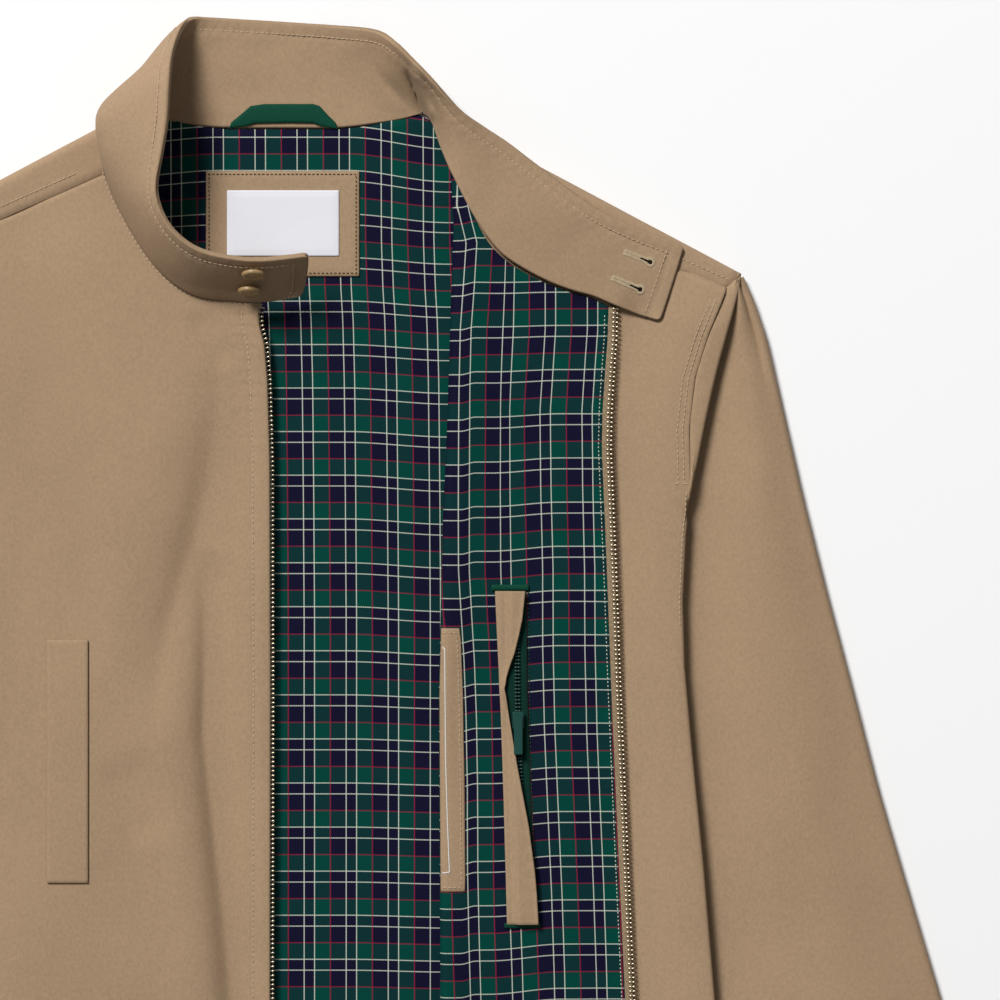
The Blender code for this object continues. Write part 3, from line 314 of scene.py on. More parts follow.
def pucker(along, away, reach=7.0, depth=0.16, length=6.5):
    """Small ripples square to a stitched seam, fading away from it."""
    wave = np.sin(along * 2 * pi / length + 1.3 * np.sin(along / 17.0))
    return depth * wave * np.exp(-((away / reach) ** 2))


def seam_drop(x, y):
    """How far each point lies below the forward shoulder seam."""
    run = SHOULDER_END[0] - NECK_HALF
    fall = SHOULDER_END[1] - NECK_POINT_Y
    line = NECK_POINT_Y + (np.abs(x) - NECK_HALF) * fall / run
    return np.maximum((line - y) * run / np.hypot(run, fall), 0.0)


def hollow(away):
    """Depth across a crease, from its middle: steep on one side, slow on the other, with a swell beside it."""
    narrow, wide = np.where(away < 0, 0.66, 1.9), np.where(away < 0, 1.2, 1.9)
    fall = 0.6 * np.exp(-((away / narrow) ** 2)) + 0.4 * np.exp(-((away / wide) ** 2))
    return fall - 0.32 * np.exp(-(((away + 2.0) / 1.6) ** 2))


def beside(x, y, top, low):
    """How far down the line from top to low each point lies, as a share, and how far to its side."""
    dx, dy = low[0] - top[0], low[1] - top[1]
    along = ((x - top[0]) * dx + (y - top[1]) * dy) / (dx * dx + dy * dy)
    return along, ((x - top[0]) * -dy + (y - top[1]) * dx) / np.hypot(dx, dy)


def laid(plan, height):
    """Plan points with the height that a surface has there."""
    return np.concatenate([plan, height(plan[..., 0], plan[..., 1])[..., None]], axis=-1)


def unit(ways):
    """Directions made one long."""
    return ways / np.maximum(np.linalg.norm(ways, axis=2, keepdims=True), 1e-9)


def hermite(t, start, leave, stop, arrive):
    """A cubic between two points with their slopes."""
    return ((2 * t**3 - 3 * t**2 + 1) * start + (t**3 - 2 * t**2 + t) * leave
            + (-2 * t**3 + 3 * t**2) * stop + (t**3 - t**2) * arrive)


def trough_at(x, y):
    """Depth of the creases and hollows of the closed front."""
    depth = 0.0
    for rows in CREASES:
        middle, deep, width = (x_at(rows, y, part) for part in ("x", "depth", "width"))
        depth = depth + deep * hollow((x - middle) / width)
    for row in TROUGHS:
        along, away = beside(x, y, (row.x_top, row.y_top), (row.x_low, row.y_low))
        ends = rise((along + 0.12) / 0.35) * rise((1.12 - along) / 0.35)
        depth = depth + row.depth * ends * hollow(away / row.width)
    return depth


def front_top(x, y):
    """Height of the outer face of a front that lies face up."""
    x, y = np.asarray(x, float), np.asarray(y, float)
    base = FRONT_BASE + np.where(x < 0, CLOSED_LIFT, 0)
    z = base + (ROLL * 2 - base) * np.exp(-((seam_drop(x, y) / 26) ** 2))
    z = z + (SIDE_TOP - base) * rise((np.abs(x) - x_at(SIDE, y) + 44) / 40) * rise((-60 - y) / 50)
    near = (x - x_at(FOLD, y)) / 45
    bump = 1.8 * np.exp(-near * near) * rise((-10 - y) / 40)
    return np.where(x < 0, z - trough_at(x, y), z + bump)


def flap_back(x, y):
    """Height of the wrong side of the shell where the opened front lies face down."""
    loft = 2.6 * rise((-40 - y) / 60)
    away = (x - x_at(FOLD, y) - SHELL) / 15
    return front_top(x, y) + GAP + SHELL + loft * np.exp(-away * away)


def flap_top(x, y):
    """Height of the lining's face on the opened front."""
    return flap_back(x, y) + GAP + LINING


def smooth(points, shares):
    """Points along a Catmull-Rom curve through the given ones, at the given shares of its length."""
    points = np.asarray(points, float)
    steps = np.linalg.norm(np.diff(points, axis=0), axis=1)
    at = np.concatenate([[0], np.cumsum(steps)]) / steps.sum()
    slopes = np.gradient(points, at, axis=0)
    i = np.clip(np.searchsorted(at, shares, side="right") - 1, 0, len(at) - 2)
    span = at[i + 1] - at[i]
    t = np.clip((shares - at[i]) / span, 0, 1)[:, None]
    return hermite(t, points[i], slopes[i] * span[:, None], points[i + 1], slopes[i + 1] * span[:, None])


def patch(top, left, right, across, down):
    """Plan points between a top curve, two side curves and a straight bottom edge."""
    top, left, right = np.asarray(top), np.asarray(left), np.asarray(right)
    s = np.asarray(across)[None, :, None]
    fade = ((1 - np.asarray(down)) ** 3)[:, None, None]
    straight = left[:, None] + (right - left)[:, None] * s
    bow = top - (top[0] + (top[-1] - top[0]) * np.asarray(across)[:, None])
    return straight + bow[None] * fade


def down_line(table, start, shares, inset=0.0):
    """Plan points down a side line, one for each share of the way to the hem."""
    y = np.where(shares <= SEAM_SHARE, start + (HEM_SEAM_Y - start) * shares / SEAM_SHARE,
                 HEM_SEAM_Y - GAP + (HEM_Y - HEM_SEAM_Y + GAP) * (shares - SEAM_SHARE) / (1 - SEAM_SHARE))
    return np.stack([x_at(table, y) - inset, y], axis=1)


def side_roll(y, sign, inset):
    """Columns of points that carry a front's edge round and back under itself."""
    x = x_at(SIDE, y)
    free = rise((UNDERARM_Y - 4 - y) / 16)
    low = rise((-500 - y) / 90)
    top = front_top(sign * x, y) - inset
    radius = EDGE_ROLL - inset
    middle = top + inset - EDGE_ROLL
    middle = middle + (SHELL + GAP + EDGE_ROLL - middle) * low * 0.85
    under = middle - radius
    lift = top - middle - radius
    rolled = [(x - 4.5, top)]
    turns = 9
    for step in range(turns):
        angle = pi / 2 - pi * step / (turns - 1)
        rolled.append((x - EDGE_ROLL + radius * cos(angle),
                       middle + lift * (1 - step / (turns - 1)) + radius * sin(angle)))
    rolled.append((x - 9.0 + 3.0 * low, under))
    columns = []
    for step, (roll_x, roll_z) in enumerate(rolled):
        flat_x = x - 10.5 + 10.5 * step / (len(rolled) - 1)
        flat_z = front_top(sign * flat_x, y) - inset
        columns.append(np.stack([sign * (flat_x + (roll_x - flat_x) * free), y,
                                 flat_z + (roll_z - flat_z) * free], axis=1))
    return np.stack(columns, axis=1)


def normals_of(grid, ring=False):
    """A unit normal at each point of a grid, from its neighbours; a ring's columns close on themselves."""
    across = np.roll(grid, -1, axis=1) - np.roll(grid, 1, axis=1) if ring else np.gradient(grid, axis=1)
    return unit(np.cross(across, np.gradient(grid, axis=0)))


def shell_of(grid, near, far, ring=False, puff=0.35):
    """Points, faces and pattern places of thin cloth between two distances from a grid, its rims rounded."""
    grid = np.asarray(grid, float)
    rows, columns = grid.shape[:2]
    normal = normals_of(grid, ring)
    one, two = grid + normal * near, grid + normal * far
    down, across = unit(np.gradient(grid, axis=0)), unit(np.gradient(grid, axis=1))
    swell = np.abs(np.asarray(far) - near) * puff * np.ones((rows, columns, 1))
    top, bottom = [(0, c) for c in range(columns)], [(rows - 1, c) for c in range(columns - 1, -1, -1)]
    loops = [top, bottom] if ring else [top + [(r, columns - 1) for r in range(1, rows - 1)] + bottom
                                        + [(r, 0) for r in range(rows - 2, 0, -1)]]
    points = [one.reshape(-1, 3), two.reshape(-1, 3)]
    index = np.arange(rows * columns).reshape(rows, columns)
    after = np.roll(index, -1, axis=1)
    spans = columns if ring else columns - 1
    quads = np.stack([index[:-1, :spans], after[:-1, :spans], after[1:, :spans], index[1:, :spans]],
                     axis=-1).reshape(-1, 4)
    other = rows * columns
    faces = [quads, quads[:, ::-1] + other]
    start = 2 * other
    source = [index.reshape(-1), index.reshape(-1)]
    for loop in loops:
        rim = []
        for r, c in loop:
            push = ((r == rows - 1) - (r == 0)) * down[r, c]
            if not ring:
                push = push + ((c == columns - 1) - (c == 0)) * across[r, c]
            rim.append((one[r, c] + two[r, c]) / 2 + push / max(np.linalg.norm(push), 1e-9) * swell[r, c])
        points.append(np.array(rim))
        flat = np.array([index[spot] for spot in loop])
        source.append(flat)
        here = start + np.arange(len(loop))
        here_after, flat_after = np.roll(here, -1), np.roll(flat, -1)
        faces.append(np.stack([flat_after, flat, here, here_after], axis=-1))
        faces.append(np.stack([here_after, here, flat + other, flat_after + other], axis=-1))
        start += len(loop)
    return np.concatenate(points), np.concatenate(faces), np.concatenate(source)


def place(points):
    """Millimetres from the neck seam into the frame's metres."""
    return (np.asarray(points, float) - (0, ORIGIN_Y, 0)) * MM


def add_object(name, mesh):
    """An object in the scene, at the origin, for a finished mesh."""
    made = bpy.data.objects.new(name, mesh)
    bpy.context.scene.collection.objects.link(made)
    return made


def mesh_object(name, points, faces, fabric, uv=None, smooth_faces=True):
    """A mesh object at the origin from points in millimetres, with its own pattern coordinates."""
    mesh = bpy.data.meshes.new(name)
    points = place(points).astype(np.float32)
    faces = np.asarray(faces, np.int32)
    mesh.vertices.add(len(points))
    mesh.vertices.foreach_set("co", points.ravel())
    mesh.loops.add(faces.size)
    mesh.loops.foreach_set("vertex_index", faces.ravel())
    mesh.polygons.add(len(faces))
    mesh.polygons.foreach_set("loop_start", np.arange(len(faces), dtype=np.int32) * faces.shape[1])
    mesh.update(calc_edges=True)
    mesh.validate()
    if uv is not None:
        layer = mesh.uv_layers.new(name="pattern")
        picked = np.empty(len(mesh.loops), np.int32)
        mesh.loops.foreach_get("vertex_index", picked)
        layer.data.foreach_set("uv", np.asarray(uv, np.float32)[picked].ravel())
    if smooth_faces:
        mesh.shade_smooth()
    mesh.materials.append(fabric)
    turn_out(mesh)
    return add_object(name, mesh)


def turn_out(mesh):
    """Turns a closed mesh's faces to point out."""
    mesh.calc_loop_triangles()
    corner = np.empty(len(mesh.loop_triangles) * 3, np.int32)
    mesh.loop_triangles.foreach_get("vertices", corner)
    spots = np.empty(len(mesh.vertices) * 3, np.float32)
    mesh.vertices.foreach_get("co", spots)
    a, b, c = spots.reshape(-1, 3)[corner.reshape(-1, 3)].transpose(1, 0, 2).astype(float)
    if (a * np.cross(b, c)).sum() < 0:
        mesh.flip_normals()


def cloth(name, grid, near, far, fabric, uv=None, ring=False, puff=0.35):
    """One piece of cloth from its grid; uv gives the pattern place of each grid point."""
    points, faces, source = shell_of(grid, near, far, ring, puff)
    flat = np.asarray(grid, float).reshape(-1, 3)[:, :2] / 10 if uv is None else np.asarray(uv).reshape(-1, 2)
    return mesh_object(name, points, faces, fabric, flat[source])


def rows_between(first, last, count, ease=1.0):
    """Shares of the way down, closer together near the top when ease is above 1."""
    return first + (last - first) * np.linspace(0, 1, count) ** ease


def closed_surface(x, y):
    """The closed front's outer face with its creases and the ripples of its seams."""
    calm = rise((x_at(SIDE, y) - np.abs(x) - 11) / 18)
    z = front_top(x, y) + crumple(x, y, 3) * calm
    edge = x_at(CLOSED_EDGE, y)
    z = z + pucker(y, x - edge + 8.5) * calm
    z = z - 0.35 * np.exp(-(((x - edge + 8.6) / 0.9) ** 2)) + 0.25 * np.exp(-(((x - edge + 4) / 2.6) ** 2))
    z = z + pucker(x, y - HEM_SEAM_Y, 9.0, 0.2) * calm
    low = LINING_TOP + 2.9
    return np.where(z < low + 1.0, low + np.exp(np.minimum(z - low - 1.0, 0.0)), z)


def open_surface(x, y):
    """The wearer's left front where it lies face up beside the opened flap."""
    calm = rise((x_at(SIDE, y) - np.abs(x) - 11) / 18)
    return front_top(x, y) + (crumple(x, y, 11, 0.8) + pucker(x, y - HEM_SEAM_Y, 9.0, 0.2)) * calm


def flap_wave(x, y):
    """Unevenness shared by the opened front's lining and all that is sewn on it."""
    calm = rise((x - x_at(FOLD, y) - 3) / 8)
    wave = crumple(x, y, 21, 0.75) + pucker(y, x - x_at(OPEN_ZIP, y) + 9, 9.0, 0.14, 9.0)
    lift = 1.5 * np.exp(-(((x - x_at(OPEN_ZIP, y)) / 9.0) ** 2)) * rise((-98 - y) / 30)
    return (wave + pucker(y, x - x_at(SEAM_LINE, y), 6.0, 0.12, 8.0) + lift) * calm


def flap_surface(x, y):
    """The face of the opened front's lining with its unevenness."""
    return flap_top(x, y) + flap_wave(x, y)


def back_surface(x, y):
    """The face of the back's lining with its unevenness."""
    calm = rise((150 - np.abs(x)) / 30) * rise((-4 - y) / 12)
    return LINING_TOP + (crumple(x, y, 31, 0.8) + 0.25) * calm


def closed_grid(shares, columns):
    """The closed front's outer face, from the zip over to the rolled side."""
    half = columns // 2
    neck = smooth(NECK_RIGHT_FRONT, np.linspace(0, 1, half))
    shoulder = np.linspace(neck[-1], (-SHOULDER_END[0] + SIDE_INSET, SHOULDER_END[1] + 5), columns - half + 1)
    top = np.concatenate([neck, shoulder[1:]])
    inner = down_line(CLOSED_EDGE, CLOSED_EDGE[0].y, shares)
    side = down_line(SIDE, SHOULDER_END[1], shares, SIDE_INSET) * (-1, 1)
    plan = patch(top, inner, side, np.linspace(0, 1, len(top)), shares)
    return up_to_shoulder(np.concatenate([laid(plan, closed_surface), side_roll(side[:, 1], -1, 0)], axis=1),
                          shares, half)


def up_to_shoulder(grid, shares, first):
    """Moves a front's top edge up to the shoulder seam, from this column on, and tucks it under the back."""
    if shares[0] > 0:
        return grid
    seam = NECK_POINT_Y + (np.abs(grid[0, first:, 0]) - NECK_HALF) * SHOULDER_GRADE
    grid[:, first:, 1] += (seam - grid[0, first:, 1]) * rise(1 - shares / 0.16)[:, None]
    drop = seam - grid[:, first:, 1]
    grid[:, first:, 2] -= 1.8 * np.exp(-((drop / 0.8) ** 2))
    grid[0, first:, 1] += 1.0
    return grid


def fold_roll(y, angles):
    """The radius of the opened front's fold at each y, and columns of points round it at these angles."""
    x = x_at(FOLD, y)
    high, low = flap_back(x + 4, y), front_top(x + 4, y) - SHELL
    radius, middle = (high - low) / 2, (high + low) / 2
    return radius, [np.stack([x + SHELL + radius * (1 + cos(angle)), y, middle + radius * sin(angle)], axis=1)
                    for angle in angles]


def open_grid(shares, inset, columns, below_columns):
    """The opened front's wrong side: from the zip, over the fold and on to the side of the body."""
    fold = down_line(FOLD, FOLD[0].y, shares)
    zips = down_line(OPEN_ZIP, OPEN_ZIP[0].y, shares, inset)
    side = down_line(SIDE, SHOULDER_END[1], shares, SIDE_INSET)
    radius, turn = fold_roll(fold[:, 1], np.linspace(pi / 2, 3 * pi / 2, FOLD_COLUMNS))
    starts = fold + np.stack([SHELL + radius + 2.0, 0 * radius], axis=1)
    run = np.linspace(0, 1, columns)
    neck = smooth(NECK_LEFT_FRONT, run)
    neck = neck + np.outer((1 - run) ** 5, starts[0] - neck[0])
    neck[:, 0] -= run * inset
    over = patch(neck, starts, zips, run, shares)[:, ::-1]
    shoulder = np.linspace(starts[0], side[0] + (0, 5), below_columns)
    below = patch(shoulder, starts, side, np.linspace(0, 1, below_columns), shares)
    parts = [laid(over, flap_shell), np.stack(turn, axis=1), laid(below, lambda x, y: open_surface(x, y) - SHELL),
             side_roll(side[:, 1], 1, SHELL)]
    return up_to_shoulder(np.concatenate(parts, axis=1), shares, columns + FOLD_COLUMNS)


def run_along(grid, axis):
    """Distance along the rows or the columns of a grid, from its first point."""
    step = np.linalg.norm(np.diff(grid, axis=axis), axis=2)
    start = np.zeros_like(np.take(step, [0], axis=axis))
    return np.concatenate([start, np.cumsum(step, axis=axis)], axis=axis)


def flap_shell(x, y):
    """The wrong side of the opened front's shell with its unevenness."""
    return flap_back(x, y) + flap_wave(x, y)


def rib_ridges(grid, pitch=3.1, depth=0.42):
    """How far a knitted rib's ridges, which run down the grid's rows, stand above its face: 0 or less."""
    across = run_along(grid, 1)
    count = np.round(across[:, -1:].mean() / pitch)
    phase = across / across[:, -1:] * count * 2 * pi
    return ((np.abs(np.cos(phase / 2)) ** 0.7 - 1) * depth)[..., None]


def past_roll(point):
    """Distance of a plan point beyond the line at which the back starts to roll over the shoulder."""
    return float(np.dot(np.asarray(point) - ROLL_START, SHOULDER_OUT))


def unfolded(point):
    """Place in the flat pattern of a point that lies on top, in front of the shoulder."""
    return np.asarray(point) + SHOULDER_OUT * (pi * ROLL - 2 * past_roll(point))


def folded(point):
    """Place in space of a point of the flat pattern, carried round the shoulder."""
    q = past_roll(point)
    if q <= 0:
        return (point[0], point[1], 0.0)
    move, z = (ROLL * sin(q / ROLL), ROLL * (1 - cos(q / ROLL))) if q < pi * ROLL else (pi * ROLL - q, 2 * ROLL)
    base = np.asarray(point) - SHOULDER_OUT * q + SHOULDER_OUT * move
    return (base[0], base[1], z)


def back_side(y):
    """Half width of the back on the floor."""
    inner = np.interp(-y, [-row.y_in for row in SLEEVE], [row.x_in for row in SLEEVE])
    return np.minimum(x_at(SIDE, y) - 3.5, inner - 1.0)


def back_grid(shares, columns):
    """The back's outer face, from the neckline and both shoulders down; rows above shares[0] roll over."""
    neck_columns = columns // 2
    tops = list(smooth(NECK_BACK[:5], np.linspace(0, 0.97, neck_columns)))
    bases = [p - (0, 3.0) for p in tops]
    first, last = unfolded((NECK_HALF, NECK_POINT_Y)), unfolded(SHOULDER_END)
    for point in [np.array(NECK_BACK[5])] + list(np.linspace(first, last, columns - neck_columns)):
        tops.append(point)
        bases.append(point - SHOULDER_OUT * past_roll(point))
    tops, bases = np.array(tops), np.array(bases)
    start = bases[-1][1]
    side = down_line(SIDE, start, shares)
    side[:, 0] = back_side(side[:, 1])
    side[shares == 0, 0] = bases[-1][0]
    y = side[:, 1]
    drop = (HEM_SEAM_Y - bases[0][1]) / (HEM_SEAM_Y - start)
    middle = np.maximum(bases[0][1] + (y - start) * drop, HEM_SEAM_Y) + np.minimum(y - HEM_SEAM_Y, 0)
    centre = np.stack([np.zeros_like(y), middle], axis=1)
    plan = patch(bases, centre, side, bases[:, 0] / bases[-1][0], shares)
    half = laid(plan, lambda x, y: 0 * x)
    if shares[0] == 0:
        over = [[folded(b + (t - b) * share) for t, b in zip(tops, bases)] for share in ROLL_SHARES]
        half = np.concatenate([np.array(over), half])
        reach = rise((half[0, :, 0] - 180) / 50)
        for row in range(len(ROLL_SHARES)):
            turned = sin(pi * row / 8) ** 0.6 if row < 5 else 1 - 0.6 * (row - 4) / 8
            half[row, :, :2] += np.outer(2.9 * reach * turned, (SHOULDER_OUT[1], -SHOULDER_OUT[0]))
    return np.concatenate([half[:, :0:-1] * (-1, 1, 1), half], axis=1)


def tube(table, count, turns=(7, 26, 9, 8)):
    """Rings of a flattened sleeve's outer face; each starts under its inner edge and goes over the top."""
    rows = np.stack([np.interp(np.linspace(0, 1, count), np.linspace(0, 1, len(table)), column)
                     for column in np.array(table, float).T], axis=1)
    for _ in range(3 if len(table) > 4 else 0):
        rows[1:-1] = (rows[:-2] + 2 * rows[1:-1] + rows[2:]) / 4
    rings, over = [], []
    for y_out, x_out, y_in, x_in, top in rows:
        inner, outer = np.array((x_in, y_in)), np.array((x_out, y_out))
        width = float(np.linalg.norm(outer - inner))
        edge = min(SLEEVE_EDGE + 3.4 * float(rise((y_in + 126) / 40)), top)
        half, low = edge / 2, top / 2
        profile = [(half + half * cos(angle), half + half * sin(angle), 0.0)
                   for angle in -pi / 2 - pi * np.arange(turns[0]) / (turns[0] - 1)]
        for share in np.linspace(0, 1, turns[1])[1:-1]:
            along = half + (width - half - low) * share
            tall = edge + (top - edge) * float(rise((along - 20) / 34)) + 3.8 * sin(pi * share ** 1.9) ** 1.4
            profile.append((along, tall, float(rise(share * 5) * rise((1 - share) * 6))))
        profile += [(width - low + low * cos(angle), low + low * sin(angle), 0.0)
                    for angle in pi / 2 - pi * np.arange(turns[2]) / (turns[2] - 1)]
        profile += [(half + (width - half - low) * share, 0.0, 0.0) for share in np.linspace(1, 0, turns[3])[1:-1]]
        along, z, free = np.array(profile).T
        rings.append(np.column_stack([inner + np.outer(along / width, outer - inner), z]))
        over.append(free)
    return np.array(rings), np.array(over)


def crown_grid(count):
    """The rolled top of the sleeve beside the armhole seam, from the shoulder's tip down to the underarm."""
    ends = CROWN_TOP_ENDS + [(row.x, row.y) for row in CROWN_EDGE[1:]] + CROWN_LOW_ENDS
    seams = CROWN_TOP_SEAM + [(float(x_at(SIDE, row.y)), row.y) for row in CROWN_EDGE[1:]] + CROWN_LOW_SEAM
    edge = smooth(ends, np.linspace(0, 1, count))
    seam = np.stack([np.interp(-edge[:, 1], [-p[1] for p in ends], [p[k] for p in seams]) for k in (0, 1)], axis=1)
    top = front_top(np.minimum(seam[:, 0], x_at(SIDE, seam[:, 1])), seam[:, 1])
    top = top - 1.6 * rise((seam[:, 1] + 83) / 6) - 2.0 * rise((edge[:, 1] + 122) / 40)
    top = top - 2.6 * rise((-188 - edge[:, 1]) / 14)
    radius = EDGE_ROLL - 0.1
    columns = [np.column_stack([seam + (away, 0), top - low])
               for away, low in ((-1.6, 1.3), (-0.2, 1.0), (0.35, 0.45), (0.9, 0.1), (1.6, 0.0))]
    start, stop = seam + (1.6, 0), edge - (radius, 0)
    for share in (0.25, 0.5, 0.75):
        columns.append(np.column_stack([start + (stop - start) * share, top + 0.15 * sin(share * pi)]))
    for angle in np.linspace(pi / 2, -pi / 2, 11):
        columns.append(np.column_stack([edge + (radius * (cos(angle) - 1), 0), top - radius + radius * sin(angle)]))
    columns.append(np.column_stack([edge - (6.0, 0), top - 2 * radius]))
    return np.stack(columns, axis=1)


def collar_grid(stations, heights):
    """Middle of the stand collar: stations along it, from seam to free edge, with the run in both directions."""
    lines = []
    for rib in COLLAR:
        x, y, z = rib.seam
        if z is None:
            z = front_top(min(x, -12.0), y) if x < 20 else flap_top(x, y) - FLAP_STACK * rise((x - 174) / 14)
            z = z + COLLAR_LIFT
        lines.append([(x, y, float(z)), rib.bow, rib.edge])
    lines = np.array(lines)
    step = np.linalg.norm(np.diff(lines[:, 1], axis=0), axis=1)
    at = np.concatenate([[0], np.cumsum(step)]) / step.sum()
    even = np.interp(np.linspace(0, 1, stations), at, np.arange(len(lines)))
    i = np.minimum(even.astype(int), len(lines) - 2)
    slope = np.gradient(lines, axis=0)
    curves = hermite((even - i)[:, None, None], lines[i], slope[i], lines[i + 1], slope[i + 1])
    seam, bow, edge = curves[:, 0, None], curves[:, 1, None], curves[:, 2, None]
    t = np.linspace(0, 1, heights)[None, :, None]
    grid = (1 - t) ** 2 * seam + 2 * t * (1 - t) * (2 * bow - (seam + edge) / 2) + t * t * edge
    grid[..., 2] += bend_fold(grid[..., 0], grid[..., 1])
    return rounded(grid, 2.8)


def rounded(grid, radius):
    """The collar's grid with the corners of its two ends rounded off."""
    along, across = run_along(grid, 0), run_along(grid, 1)
    ways = [unit(np.gradient(grid, axis=k)) for k in (0, 1)]
    moved = grid.copy()
    for to_end, end_sign in ((along, 1), (along[-1:] - along, -1)):
        for to_edge, edge_sign in ((across, 1), (across[:, -1:] - across, -1)):
            u, v = np.clip(1 - to_end / radius, 0, 1), np.clip(1 - to_edge / radius, 0, 1)
            back_u, back_v = u - u * np.sqrt(1 - v * v / 2), v - v * np.sqrt(1 - u * u / 2)
            moved += radius * (end_sign * back_u[..., None] * ways[0] + edge_sign * back_v[..., None] * ways[1])
    return moved


def bend_fold(x, y):
    """The sharp crease of the collar where it turns down on to the opened front."""
    along, away = beside(x, y, BEND_TOP, BEND_LOW)
    held = rise((along + 0.15) / 0.35) * rise((1.25 - along) / 0.3)
    dent = 2.0 * np.exp(-((((x - 60) * 0.8 + (y - 19) * 0.6) / 3.6) ** 2)) * np.exp(-(((y - 19) / 10) ** 2))
    return -dent + held * (3.4 * np.exp(-(((away - 2.2) / 2.2) ** 2)) - 3.2 * np.exp(-(((away + 1.6) / 2.2) ** 2)))


def socket(group, name, kind, default=None, out=False):
    """Adds a named input or output to a node group."""
    made = group.interface.new_socket(name=name, in_out="OUTPUT" if out else "INPUT", socket_type=kind)
    if default is not None:
        made.default_value = default
    return made


class Wires:
    """Adds nodes to one tree and joins them, so that a shader reads as short lines."""

    def __init__(self, tree):
        self.tree = tree

    def join(self, value, target):
        """Links a socket to an input, or sets the input to a plain value."""
        if isinstance(value, bpy.types.NodeSocket):
            self.tree.links.new(value, target)
        else:
            target.default_value = value

    def add(self, kind, inputs=(), **settings):
        """A node with its settings made and its inputs set or linked."""
        node = self.tree.nodes.new(kind)
        for name, value in settings.items():
            setattr(node, name, value)
        for name, value in dict(inputs).items():
            self.join(value, node.inputs[name])
        return node

    def math(self, operation, *values, clamp=False):
        """The result of a Math node on sockets and numbers."""
        return self.add("ShaderNodeMath", dict(enumerate(values)), operation=operation, use_clamp=clamp).outputs[0]

    def mix(self, factor, one, two):
        """The colour between two colours."""
        sides = (value if isinstance(value, bpy.types.NodeSocket) else (*value, 1) for value in (one, two))
        return self.add("ShaderNodeMix", zip((0, 6, 7), (factor, *sides)), data_type="RGBA").outputs[2]


def new_group(name, inputs, outputs):
    """A shader node group with its sockets, its wires, its input sockets and its output node."""
    group = bpy.data.node_groups.new(name, "ShaderNodeTree")
    for label, kind, default in inputs:
        socket(group, label, kind, default)
    for label, kind in outputs:
        socket(group, label, kind, out=True)
    wires = Wires(group)
    return wires, wires.add("NodeGroupInput").outputs, wires.add("NodeGroupOutput").inputs


def axis_group():
    """Where the stripes of the sett lie along one axis: green ground, cream lines, red line."""
    w, given, found = new_group("Sett stripes", [("Place", FLOAT, 0.0), ("Line", FLOAT, SETT_LINE)],
                                [("Green", FLOAT), ("Cream", FLOAT), ("Red", FLOAT)])
    share = w.math("FRACT", given["Place"])
    w.join(w.math("MULTIPLY", w.math("SUBTRACT", share, GREEN_FROM), 60.0, clamp=True), found["Green"])
    cream = 0.0
    for at in CREAM_AT:
        away = w.math("ABSOLUTE", w.math("SUBTRACT", share, at))
        near = w.math("MULTIPLY", w.math("SUBTRACT", given["Line"], away), 120.0, clamp=True)
        cream = w.math("MAXIMUM", near, cream)
    w.join(cream, found["Cream"])
    away = w.math("MINIMUM", share, w.math("SUBTRACT", 1.0, share))
    near = w.math("SUBTRACT", w.math("MULTIPLY", given["Line"], 1.25), away)
    w.join(w.math("MULTIPLY", near, 70.0, clamp=True), found["Red"])


def tartan_group(colours):
    """The woven check: warp and weft colours mixed, with the twill's serration on its fine lines."""
    axis_group()
    w, given, found = new_group("Tartan weave", [("Vector", VECTOR, None), ("Line", FLOAT, SETT_LINE)],
                                [("Color", COLOUR), ("Height", FLOAT)])
    parts = w.add("ShaderNodeSeparateXYZ", {0: given["Vector"]}).outputs
    stripes = bpy.data.node_groups["Sett stripes"]
    axes = [w.add("ShaderNodeGroup", (("Place", parts[k]), ("Line", given["Line"])), node_tree=stripes).outputs
            for k in (0, 1)]
    colour = w.mix(0.5, *(w.mix(axis["Green"], colours.navy, colours.green) for axis in axes))
    twill = w.math("ADD", *(w.math("MULTIPLY", parts[k], 2 * pi * TWILL_RIBS) for k in (0, 1)))
    wave = w.math("MULTIPLY_ADD", w.math("SINE", twill), 0.5, 0.5)
    lit = w.math("SUBTRACT", 1.0, wave)
    for axis, over, cream_share, red_share in ((axes[1], lit, 0.5, 0.5), (axes[0], wave, 0.56, 0.62)):
        red = w.math("MULTIPLY", axis["Red"], w.math("MULTIPLY_ADD", over, 0.3, red_share - 0.12))
        colour = w.mix(red, colour, colours.red)
        cream = w.math("MULTIPLY", axis["Cream"], w.math("MULTIPLY_ADD", over, 0.36, cream_share - 0.14))
        colour = w.mix(cream, colour, colours.cream)
    w.join(colour, found["Color"])
    w.join(wave, found["Height"])


